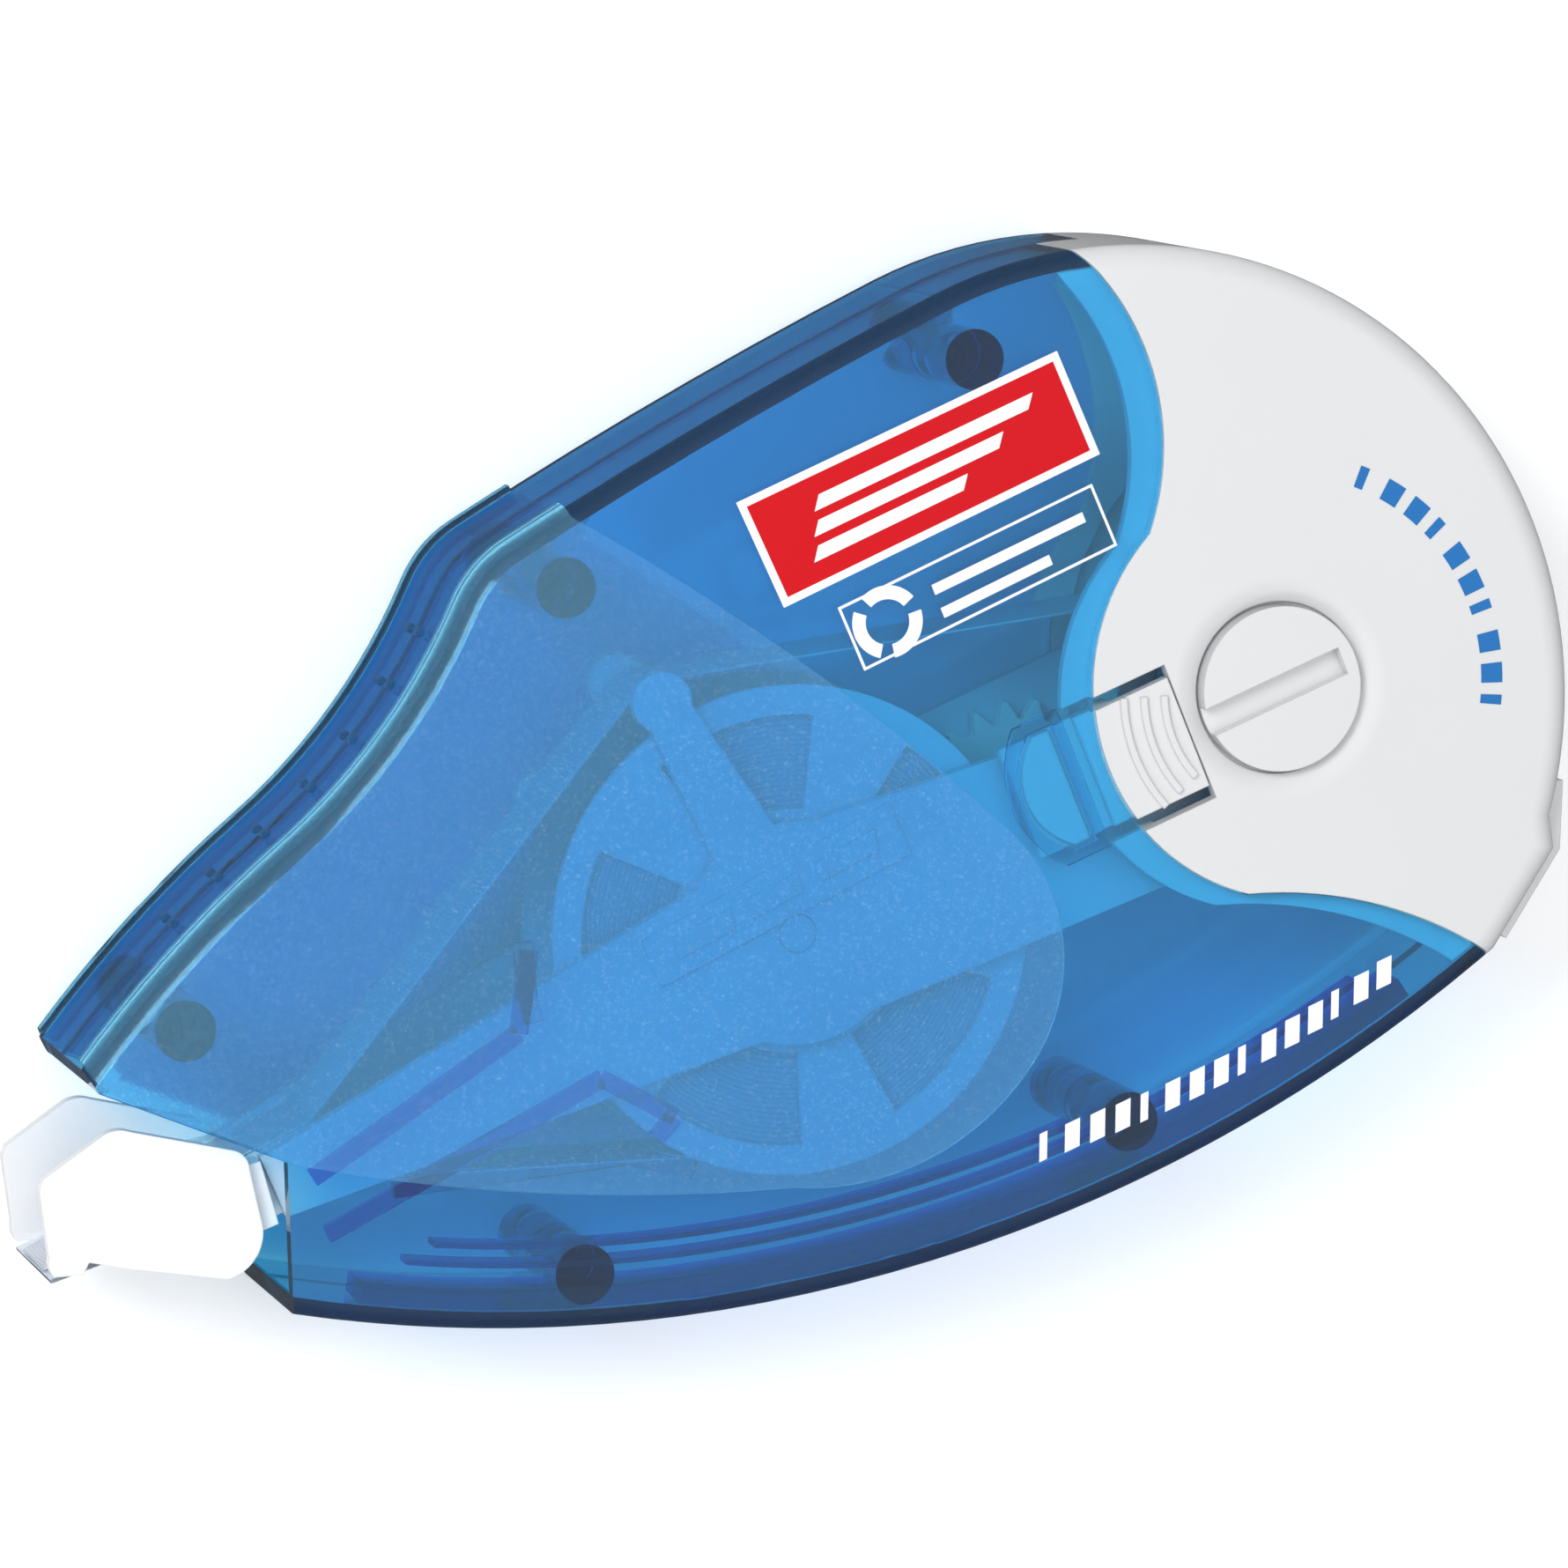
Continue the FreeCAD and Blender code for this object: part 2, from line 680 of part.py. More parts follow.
def near_rear_cover():
    """Near cover, with the knob's dished hole and the slots round the latch tongue."""
    body = rear_cover("near_rear_cover", NEAR)
    root, free, middle = latch_place()
    x = S["knob_x"]
    y = S["knob_y"]
    hole = S["knob_radius"] + S["knob_gap"]
    cut_disc(body, hole, near_inside, S["face_wall"], x=x, y=y)
    groove(body, x, y, dish_outline(hole.value))
    half = S["latch_width"].value / 2 + S["latch_slot"].value
    slot = rectangle(free.value - 2, middle.value - half, root.value + S["seat_gap"].value, middle.value + half)
    cut_wire(body, slot, parting, half_depth)
    return body


def far_rear_cover():
    """Far cover, with the seat ring that the cassette frame stands on and a notch in its lip for the frame."""
    body = rear_cover("far_rear_cover", FAR)
    half = S["supply_core_radius"].value + S["frame_gap"].value * 2
    middle = S["knob_y"].value
    seam_middle = S["knob_x"].value - S["seam_to_knob"].value + seam_shift(FAR)
    reach = S["lip_reach"].value * 2
    notch = rectangle(seam_middle - reach, middle - half, seam_middle + reach, middle + half)
    cut_wire(body, notch, parting, half_inside, FAR)
    seat = S["take_up_axle_radius"] + S["face_wall"]
    add_disc(body, seat, plate_low, S["frame_gap"] + S["face_wall"] / 4, x=S["knob_x"], y=S["knob_y"], side=FAR)
    return body


def latch_button():
    """The springy tongue that holds the cap: ribbed pad outside, catch under the housing."""
    root, free, middle = latch_place()
    body = new_body("latch_button")
    half = S["latch_width"].value / 2
    wall = S["latch_wall"]
    inner_top = near_inside - S["strike_depth"] - S["layer_gap"]
    inner_low = inner_top - wall
    step_x = S["knob_x"].value - S["seam_to_knob"].value + S["knob_gap"].value
    pad_low = near_face - S["layer_gap"] - wall
    low = middle.value - half
    high = middle.value + half
    add_wire(body, rectangle(free.value, low, step_x, high), inner_low, wall)
    riser = rectangle(step_x - wall.value, low, step_x + 2 * wall.value, high)
    add_wire(body, riser, inner_low, pad_low + wall - inner_low)
    add_wire(body, rectangle(step_x, low, root.value, high), pad_low, wall)
    cut_wire(body, before_seam(2 * S["seam_gap"].value), near_inside - S["seam_gap"], S["face_wall"])
    add_wire(body, catch_outline(0), inner_top, S["catch_height"])
    for count in range(3):
        reach = S["crater_radius"].value + S["latch_overlap"].value + count * S["rib_pitch"].value
        add_wire(body, finger_rib(reach), near_face - S["layer_gap"], S["layer_gap"] * 1.5)
    round_edges(body, S["layer_gap"], at_level(inner_top + S["catch_height"]))
    return body


def finger_rib(reach):
    """A low rib across the tongue, round the knob's axis."""
    thick = 0.55
    spread = math.radians(21)
    x = S["knob_x"].value
    y = S["knob_y"].value

    def spot(radius, turn):
        return point(x - radius * math.cos(turn), y + radius * math.sin(turn))

    return Part.Wire(path_edges(spot(reach, spread), [
        (spot(reach, 0), spot(reach, -spread)),
        (spot(reach + thick, -spread),),
        (spot(reach + thick, 0), spot(reach + thick, spread)),
        (spot(reach, spread),)]))


# ---------------------------------------------------------------- cassette

AXIS_GAP = math.hypot(S["knob_x"].value, S["knob_y"].value)
AXIS_TURN = math.degrees(math.atan2(S["knob_y"].value, S["knob_x"].value))
MODULE = S["gear_module"].value
SUPPLY_TEETH = int(S["supply_teeth"].value)
TAKE_UP_TEETH = int(S["take_up_teeth"].value)
IDLER_TEETH = math.ceil((AXIS_GAP + 0.2) / MODULE - (SUPPLY_TEETH + TAKE_UP_TEETH) / 2)
SUPPLY_TO_IDLER = MODULE * (SUPPLY_TEETH + IDLER_TEETH) / 2
IDLER_TO_TAKE_UP = MODULE * (IDLER_TEETH + TAKE_UP_TEETH) / 2
IDLER_LIFT = math.degrees(math.acos(
    (AXIS_GAP ** 2 + SUPPLY_TO_IDLER ** 2 - IDLER_TO_TAKE_UP ** 2) / (2 * AXIS_GAP * SUPPLY_TO_IDLER)))
IDLER_TURN = AXIS_TURN - IDLER_LIFT
IDLER_SPOT = point(SUPPLY_TO_IDLER * math.cos(math.radians(IDLER_TURN)),
                   SUPPLY_TO_IDLER * math.sin(math.radians(IDLER_TURN)))
TAKE_UP_SPOT = point(S["knob_x"], S["knob_y"])

pawl_reach = SUPPLY_TEETH / 2 * MODULE + 3.6
PAWL_SPOT = point(pawl_reach * math.cos(math.radians(128)), pawl_reach * math.sin(math.radians(128)))
RETURN_SPOT = point(-3.0, S["supply_flange_radius"].value + 1.9)
NECK_FRONT = point(-tip_reach.value + 17.8, -0.6)
NECK_BACK = NECK_FRONT + V(6.5, 0.4, 0)
post_radius = S["idler_axle_radius"] * 0.8


def cassette_frame():
    """Far plate of the cassette, with the axles that everything in it turns on."""
    body = new_body("cassette_frame")
    wall = S["plate_wall"]
    origin = point(0, 0)
    neck_half = S["neck_height"].value / 2
    add_disc(body, S["supply_core_radius"] + 2, plate_low, wall)
    add_wire(body, bar(NECK_FRONT, origin, neck_half, 8.0), plate_low, wall)
    add_wire(body, bar(origin, TAKE_UP_SPOT, 8.5, 6.5), plate_low, wall)
    add_disc(body, S["take_up_core_radius"] + 2.4, plate_low, wall, x=S["knob_x"], y=S["knob_y"])
    for spot in (PAWL_SPOT, RETURN_SPOT):
        add_wire(body, bar(origin, spot, 4.0, 2.2), plate_low, wall)
        add_disc(body, S["pin_radius"] * 2, plate_low, wall, x=spot.x, y=spot.y)
    add_disc(body, S["supply_axle_radius"], plate_top, arm_low - plate_top)
    add_disc(body, S["supply_axle_radius"] * 0.6, arm_low, S["arm_wall"])
    add_disc(body, S["idler_axle_radius"], plate_top, S["gear_width"] + S["layer_gap"], x=IDLER_SPOT.x, y=IDLER_SPOT.y)
    axle_length = (tape_low + S["tape_width"] / 2) - plate_top
    add_disc(body, S["take_up_axle_radius"], plate_top, axle_length, x=S["knob_x"], y=S["knob_y"])
    add_disc(body, post_radius, plate_top, S["gear_width"] + S["layer_gap"], x=PAWL_SPOT.x, y=PAWL_SPOT.y)
    add_disc(body, post_radius, plate_top, arm_low - plate_top, x=RETURN_SPOT.x, y=RETURN_SPOT.y)
    return body


def cassette_arm():
    """Near plate of the cassette, over the spools, with its raised panel and bearing holes."""
    body = new_body("cassette_arm")
    wall = S["arm_wall"]
    origin = point(0, 0)
    x = S["knob_x"]
    y = S["knob_y"]
    neck_half = S["neck_height"].value / 2
    add_disc(body, S["supply_core_radius"], arm_low, wall)
    add_wire(body, bar(NECK_FRONT + V(1.2, 0, 0), origin, neck_half, 7.4), arm_low, wall)
    add_wire(body, bar(origin, TAKE_UP_SPOT + V(-6, -5.2, 0), 8.2, 7.0), arm_low, wall)
    add_disc(body, S["take_up_core_radius"] + 3.4, arm_low, wall, x=x, y=y)
    add_wire(body, bar(origin, RETURN_SPOT, 3.4, 1.8), arm_low, wall)
    add_disc(body, S["pin_radius"] * 2, arm_low, wall, x=RETURN_SPOT.x, y=RETURN_SPOT.y)
    label = closed_wire(point(-12.0, 4.9), [(point(10.8, 6.6),), (point(11.0, 2.0),), (point(-11.9, 0.8),)])
    add_wire(body, label, arm_top, S["layer_gap"] * 1.5)
    cut_disc(body, S["supply_axle_radius"] * 0.6 + S["running_gap"], arm_low, wall + wall)
    cut_disc(body, S["knob_stem_radius"] + S["knob_gap"], arm_low, wall, x=x, y=y)
    return body


def tip_holder():
    """Block between the cassette's plates that holds the blade, with a cheek beside each wing."""
    body = new_body("tip_holder")
    half = S["neck_height"].value / 2
    low = plate_low + S["wing_wall"]
    add_wire(body, bar(NECK_FRONT, NECK_BACK, half, half), plate_top, arm_low - plate_top)
    cheek_end = NECK_FRONT + V(-7.0, 0.9, 0)
    far_cheek = tape_low - S["layer_gap"] - low
    add_wire(body, bar(cheek_end, NECK_FRONT + V(0.6, 0, 0), 3.2, half), low, far_cheek)
    near_cheek_low = tape_top + S["layer_gap"]
    near_cheek = wing_low - near_cheek_low
    add_wire(body, bar(cheek_end, NECK_FRONT + V(0.6, 0, 0), 3.2, half), near_cheek_low, near_cheek)
    return body


wing_low = arm_top + S["wing_wall"]


def wing_outline():
    """The guard wing's outline: a blunt leaf with a notch that bares the blade's edge."""
    tip = -tip_reach.value
    return closed_wire(point(tip + 2.5, 8.3), [
        (point(tip + 8.2, 9.5),),
        (point(tip + 9.2, 9.4), point(tip + 10.2, 8.8)),
        (point(tip + 17.1, 3.9),),
        (point(tip + 17.6, 3.0), point(tip + 17.5, 2.0)),
        (point(tip + 16.7, -2.6),),
        (point(tip + 15.7, -4.2), point(tip + 12.6, -5.2)),
        (point(tip + 5.6, -0.9),),
        (point(tip + 3.2, 0.8),),
        (point(tip + 2.4, 0.1),),
        (point(tip + 0.3, 0.9),),
        (point(tip + 0.2, 1.6), point(tip + 0.5, 2.4)),
        (point(tip + 1.9, 7.6),),
    ])


def tip_wing(name, level):
    """A guard wing beside the tape at the tip."""
    body = new_body(name)
    add_wire(body, wing_outline(), level, S["wing_wall"])
    return body


def applicator_blade():
    """The tapered blade that presses the tape on to the paper."""
    body = new_body("applicator_blade")
    root = NECK_FRONT
    edge = point(-tip_reach.value, 0.4)
    add_wire(body, bar(edge, root, S["blade_edge"].value / 2, S["blade_wall"].value / 2), tape_low, S["tape_width"])
    side_reach = S["blade_wall"]
    far_low = plate_low + S["wing_wall"]
    front = edge + (root - edge) * 0.45
    add_wire(body, bar(edge, front, S["blade_edge"].value / 2, side_reach.value * 0.35), far_low, wing_low - far_low)
    return body


def ratchet_pawl():
    """Springy finger that keeps the drive gear from running backwards."""
    body = new_body("ratchet_pawl")
    radius = SUPPLY_TEETH / 2 * MODULE + 0.8 * MODULE + 0.25
    turn = math.radians(104)
    toe = point(radius * math.cos(turn), radius * math.sin(turn))
    out = V(math.cos(turn), math.sin(turn), 0)
    wire = closed_wire(toe, [
        (toe + out * 1.2 + V(0.4, 0, 0),),
        (PAWL_SPOT + V(0.6, 1.5, 0),),
        (PAWL_SPOT + V(-0.6, 0.4, 0),),
        (PAWL_SPOT + V(0.2, -0.6, 0),)])
    add_disc(body, post_radius + 0.9, gear_low, S["gear_width"], x=PAWL_SPOT.x, y=PAWL_SPOT.y)
    add_wire(body, wire, gear_low, S["gear_width"])
    cut_disc(body, post_radius + S["running_gap"], gear_low, S["gear_width"], x=PAWL_SPOT.x, y=PAWL_SPOT.y)
    return body


# ---------------------------------------------------------------- gears and spools

def gear(name, teeth, bore, spot, phase):
    """A spur gear with straight-flanked teeth, one of them pointing along its phase angle."""
    body = new_body(name, spot.x, spot.y, phase)
    pitch_radius = S["gear_module"] * (teeth / 2)
    root_radius = pitch_radius - S["gear_module"] * 1.15
    add_disc(body, root_radius, gear_low, S["gear_width"], bore=bore)
    inner = root_radius.value - 0.3
    outer = pitch_radius.value + 0.8 * MODULE
    half_pitch = (math.pi * MODULE / 2 - S["backlash"].value) / 2
    slope = math.tan(math.radians(22))
    half_inner = half_pitch + (pitch_radius.value - inner) * slope
    half_outer = half_pitch - (outer - pitch_radius.value) * slope
    tooth = closed_wire(point(inner, -half_inner), [
        (point(outer, -half_outer),), (point(outer, half_outer),), (point(inner, half_inner),)])
    tooth_pad = add_wire(body, tooth, gear_low, S["gear_width"])
    pattern = body.newObject("PartDesign::PolarPattern", f"{name}_teeth")
    pattern.Originals = [tooth_pad]
    pattern.Axis = (plane(body, "Z_Axis"), [""])
    pattern.Angle = 360
    pattern.Occurrences = teeth
    body.Tip = pattern
    pattern.recompute()
    body.recompute()
    return body


def spokes(body, inner, outer, count, level, length, gap_share=0.62):
    """Cut sector windows through a disc, leaving spokes between them."""
    pitch = 2 * math.pi / count
    half = pitch * gap_share / 2
    for i in range(count):
        turn = i * pitch + math.radians(12)

        def spot(radius, angle):
            return point(radius * math.cos(angle), radius * math.sin(angle))

        window = Part.Wire(path_edges(spot(inner, turn - half), [
            (spot(outer, turn - half),),
            (spot(outer, turn), spot(outer, turn + half)),
            (spot(inner, turn + half),),
            (spot(inner, turn), spot(inner, turn - half))]))
        cut_wire(body, window, level, length)


def supply_gear():
    """Drive gear with the hub that carries the supply spool through its slip clutch."""
    phase = IDLER_TURN
    body = gear("supply_gear", SUPPLY_TEETH, S["supply_axle_radius"] + S["running_gap"], point(0, 0), phase)
    hub_length = near_flange_low - gear_top
    add_disc(body, S["drive_hub_radius"], gear_top, hub_length, bore=S["supply_axle_radius"] + S["running_gap"])
    return body


def idler_phase():
    """Angle that sets a gap of the idler against the drive gear's tooth."""
    return IDLER_TURN + 180 + 180 / IDLER_TEETH


def take_up_phase():
    """Angle that meshes the take-up gear with the idler."""
    line = math.degrees(math.atan2(TAKE_UP_SPOT.y - IDLER_SPOT.y, TAKE_UP_SPOT.x - IDLER_SPOT.x))
    ahead = (line - idler_phase()) / (360 / IDLER_TEETH)
    return line + 180 + (ahead - math.floor(ahead) - 0.5) * 360 / TAKE_UP_TEETH


def supply_spool():
    """Core and far flange that the fresh tape is wound on."""
    body = new_body("supply_spool")
    bore = S["supply_bore_radius"]
    add_disc(body, S["supply_flange_radius"], flange_low, S["flange_wall"], bore=bore)
    add_disc(body, S["supply_core_radius"], flange_top, near_flange_low - flange_top, bore=bore)
    return body


def supply_flange():
    """Near flange of the supply spool, with sector windows that show the tape left."""
    body = new_body("supply_flange")
    add_disc(body, S["supply_flange_radius"], near_flange_low, S["flange_wall"], bore=S["supply_bore_radius"])
    inner = S["supply_core_radius"].value + 0.8
    outer = S["supply_flange_radius"].value - 2.4
    spokes(body, inner, outer, 5, near_flange_low, S["flange_wall"])
    return body


def ring(name, outer, inner, low, length, x=None, y=None):
    """A plain ring."""
    body = new_body(name, x, y)
    add_disc(body, outer, low, length, bore=inner)
    return body


def take_up_spool():
    """Spool that winds up the used ribbon, with the slot that the knob's tang turns."""
    body = new_body("take_up_spool", S["knob_x"], S["knob_y"])
    bore = S["take_up_axle_radius"] + S["running_gap"]
    add_disc(body, S["take_up_flange_radius"], flange_low, S["flange_wall"], bore=bore)
    add_disc(body, S["take_up_core_radius"], flange_top, near_flange_low - flange_top, bore=bore)
    add_disc(body, S["take_up_flange_radius"], near_flange_low, S["flange_wall"], bore=bore)
    gap = S["seat_gap"].value
    slot = tang_outline(gap)
    cut_wire(body, slot, near_flange_top - S["pin_depth"], S["pin_depth"])
    return body


def tang_outline(growth):
    """The knob's cross tang, and with growth the slot for it."""
    half = S["knob_stem_radius"].value - 0.2 + growth
    thick = 0.9 + growth
    return rectangle(-half, -thick, half, thick)


def tension_knob():
    """Coin-slotted knob that turns the take-up spool to pull slack tape tight."""
    body = new_body("tension_knob", S["knob_x"], S["knob_y"], 0)
    top = near_face + S["knob_proud"]
    flange_under = near_inside - S["layer_gap"]
    add_disc(body, S["knob_radius"], flange_under, top - flange_under)
    add_disc(body, S["knob_radius"] + S["knob_flange"], flange_under, S["knob_flange"] * 0.8, side=FAR)
    stem_low = near_flange_top + S["layer_gap"] / 2
    add_disc(body, S["knob_stem_radius"], stem_low, flange_under - stem_low)
    add_wire(body, tang_outline(0), stem_low, S["pin_depth"] * 0.8, side=FAR)
    reach = S["knob_radius"].value + 1
    half = S["coin_slot_width"].value / 2
    slot = rectangle(-reach, -half, S["knob_radius"].value - 1.1, half)
    cut_wire(body, slot, top - S["coin_slot_depth"], S["coin_slot_depth"])
    return body


def tangent_spot(centre, radius, outside, side):
    """Where a straight from a point outside touches a circle, on the chosen side."""
    away = outside - centre
    base = math.atan2(away.y, away.x)
    spread = math.acos(radius / away.Length)
    turn = base + side * spread
    return centre + V(radius * math.cos(turn), radius * math.sin(turn), 0)


def fresh_tape():
    """Free run of fresh tape from the supply roll, under the neck, to the blade's edge."""
    body = new_body("fresh_tape")
    half = S["neck_height"].value / 2 + 0.15
    under_back = NECK_BACK + V(0.2, -half, 0)
    under_front = NECK_FRONT + V(-0.2, -half, 0)
    clear = S["supply_tape_radius"].value + 0.4
    start = tangent_spot(point(0, 0), clear, under_back, 1)
    edge = point(-tip_reach.value + 0.2, 0.4 - S["blade_edge"].value / 2 - 0.1)
    add_wire(body, strip([start, under_back, under_front, edge], S["ribbon"].value), tape_low, S["tape_width"])
    return body


def used_ribbon():
    """Free run of used ribbon from the blade, over the neck and the return post, to the take-up."""
    body = new_body("used_ribbon")
    half = S["neck_height"].value / 2 + 0.15
    over_front = NECK_FRONT + V(-0.2, half, 0)
    over_back = NECK_BACK + V(-0.2, half, 0)
    edge = point(-tip_reach.value + 0.2, 0.4 + S["blade_edge"].value / 2 + 0.1)
    lift = post_radius.value + 0.25
    post = RETURN_SPOT + V(0, lift, 0)
    clear = S["take_up_tape_radius"].value + 0.4
    end = tangent_spot(TAKE_UP_SPOT, clear, post, -1)
    route = [edge, over_front, over_back, post + V(-1.2, -0.35, 0), post, post + V(1.0, -0.2, 0), end]
    add_wire(body, strip(route, S["ribbon"].value), tape_low, S["tape_width"])
    return body


# ---------------------------------------------------------------- build and write

PIECES = [
    near_shell(),
    housing_shell("far_shell", FAR),
    grip_panel("near_grip_panel", NEAR),
    grip_panel("far_grip_panel", FAR),
    near_rear_cover(),
    far_rear_cover(),
    latch_button(),
    cassette_frame(),
    cassette_arm(),
    tip_holder(),
    tip_wing("near_tip_wing", wing_low),
    tip_wing("far_tip_wing", plate_low),
    applicator_blade(),
    ratchet_pawl(),
    supply_gear(),
    gear("idler_gear", IDLER_TEETH, S["idler_axle_radius"] + S["running_gap"], IDLER_SPOT, idler_phase()),
    gear("take_up_gear", TAKE_UP_TEETH, S["take_up_axle_radius"] + S["running_gap"], TAKE_UP_SPOT, take_up_phase()),
    supply_spool(),
    supply_flange(),
    ring("clutch_ring", S["supply_bore_radius"] - S["running_gap"] / 3, S["drive_hub_radius"] + S["running_gap"],
         tape_low + S["tape_width"] / 3, S["tape_width"] / 4),
    ring("tape_roll", S["supply_tape_radius"], S["supply_core_radius"] + S["running_gap"], tape_low, S["tape_width"]),
    take_up_spool(),
    ring("used_ribbon_roll", S["take_up_tape_radius"], S["take_up_core_radius"] + S["running_gap"], tape_low,
         S["tape_width"], S["knob_x"], S["knob_y"]),
    tension_knob(),
    fresh_tape(),
    used_ribbon(),
]

doc.recompute()
for item in doc.Objects:
    if "Invalid" in item.State or "Error" in item.State:
        raise RuntimeError(f"{item.Label}: {item.State}")
for piece in PIECES:
    if piece.Shape.isNull() or not piece.Shape.isValid():
        raise RuntimeError(f"{piece.Label} has no valid shape")

os.makedirs("parts", exist_ok=True)
for piece in PIECES:
    piece.Shape.exportStep(f"parts/{piece.Label}.step")
    solids = len(piece.Shape.Solids)
    print(f"{piece.Label}: {solids} solid(s), {piece.Shape.Volume:.1f} cubic mm")
print(f"thickness {thickness.value:.2f}, idler teeth {IDLER_TEETH} at ({IDLER_SPOT.x:.3f}, {IDLER_SPOT.y:.3f})")
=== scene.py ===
"""Looks of a refillable correction tape roller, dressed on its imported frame."""

import logging
import math
from dataclasses import dataclass, field
from enum import Enum
from typing import Iterable, Sequence

import bmesh
import bpy
from mathutils import Matrix, Vector
from mathutils.bvhtree import BVHTree


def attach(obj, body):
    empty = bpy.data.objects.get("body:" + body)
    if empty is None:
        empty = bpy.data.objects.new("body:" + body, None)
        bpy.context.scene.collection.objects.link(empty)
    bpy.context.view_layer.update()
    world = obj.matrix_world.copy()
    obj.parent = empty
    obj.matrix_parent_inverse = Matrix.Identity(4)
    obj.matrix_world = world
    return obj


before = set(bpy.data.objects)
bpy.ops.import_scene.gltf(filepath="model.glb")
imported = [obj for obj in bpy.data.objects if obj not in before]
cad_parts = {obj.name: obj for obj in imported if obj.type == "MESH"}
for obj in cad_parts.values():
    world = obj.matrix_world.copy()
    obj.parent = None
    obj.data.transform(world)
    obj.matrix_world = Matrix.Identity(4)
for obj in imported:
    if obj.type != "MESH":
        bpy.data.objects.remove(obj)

LOG = logging.getLogger("tape_roller")
MM = 0.001
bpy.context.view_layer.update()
Pair = tuple[float, float]
Colour = tuple[float, float, float]


class Body(Enum):
    """The CAD bodies that pieces ride on."""

    HOUSING = "housing"
    CASSETTE = "cassette"
    LATCH = "latch"
    DRIVE = "drive"
    SUPPLY = "supply"
    IDLER = "idler"
    TAKE_UP = "take_up"
    PAWL = "pawl"


class Slot(Enum):
    """The record's material slots."""

    CLEAR_BLUE = "clear_blue"
    FROSTED_BLUE = "frosted_blue"
    GLOSS_WHITE = "gloss_white"
    CASSETTE_WHITE = "cassette_white"
    SATIN_WHITE = "satin_white"
    BLADE_CLEAR = "blade_clear"
    ACETAL = "acetal"
    CLUTCH_RUBBER = "clutch_rubber"
    CORRECTION_TAPE = "correction_tape"
    BACKING_RIBBON = "backing_ribbon"


def grey(value: float) -> Colour:
    """A neutral colour of that lightness."""
    return (value, value, value)


# ---------------------------------------------------------------- shader groups


class ShaderGroup:
    """A shader node group that is built once and placed in many materials."""

    label: str = "group"
    inputs: tuple[tuple[str, str, float | Colour], ...] = ()
    outputs: tuple[tuple[str, str], ...] = ()

    def __init__(self) -> None:
        """Makes the group's tree with its named sockets, then fills it."""
        self.tree = bpy.data.node_groups.new(self.label, "ShaderNodeTree")
        for name, kind, value in self.inputs:
            socket = self.tree.interface.new_socket(name, in_out="INPUT", socket_type=kind)
            socket.default_value = (*value, 1.0) if kind == "NodeSocketColor" else value
        for name, kind in self.outputs:
            self.tree.interface.new_socket(name, in_out="OUTPUT", socket_type=kind)
        self.entry = self.tree.nodes.new("NodeGroupInput")
        self.exit = self.tree.nodes.new("NodeGroupOutput")
        self.fill()

    def node(self, kind: str, **settings: object) -> bpy.types.Node:
        """Adds a node and sets its attributes.

        Args:
            kind: the node's type name.
            settings: attribute values.

        Returns:
            The new node.
        """
        made = self.tree.nodes.new(kind)
        for key, value in settings.items():
            setattr(made, key, value)
        return made

    def link(self, source: bpy.types.NodeSocket, target: bpy.types.NodeSocket) -> None:
        """Links two sockets."""
        self.tree.links.new(source, target)

    def maths(self, operation: str, first: object, second: object = 0.0) -> bpy.types.NodeSocket:
        """Adds a Math node.

        Args:
            operation: the node's operation.
            first: a socket or number.
            second: a socket or number.

        Returns:
            The result's socket.
        """
        made = self.node("ShaderNodeMath", operation=operation)
        for socket, value in zip(made.inputs, (first, second)):
            if isinstance(value, bpy.types.NodeSocket):
                self.link(value, socket)
            else:
                socket.default_value = value
        return made.outputs[0]

    def fill(self) -> None:
        """Builds the inside of the group."""
        raise NotImplementedError


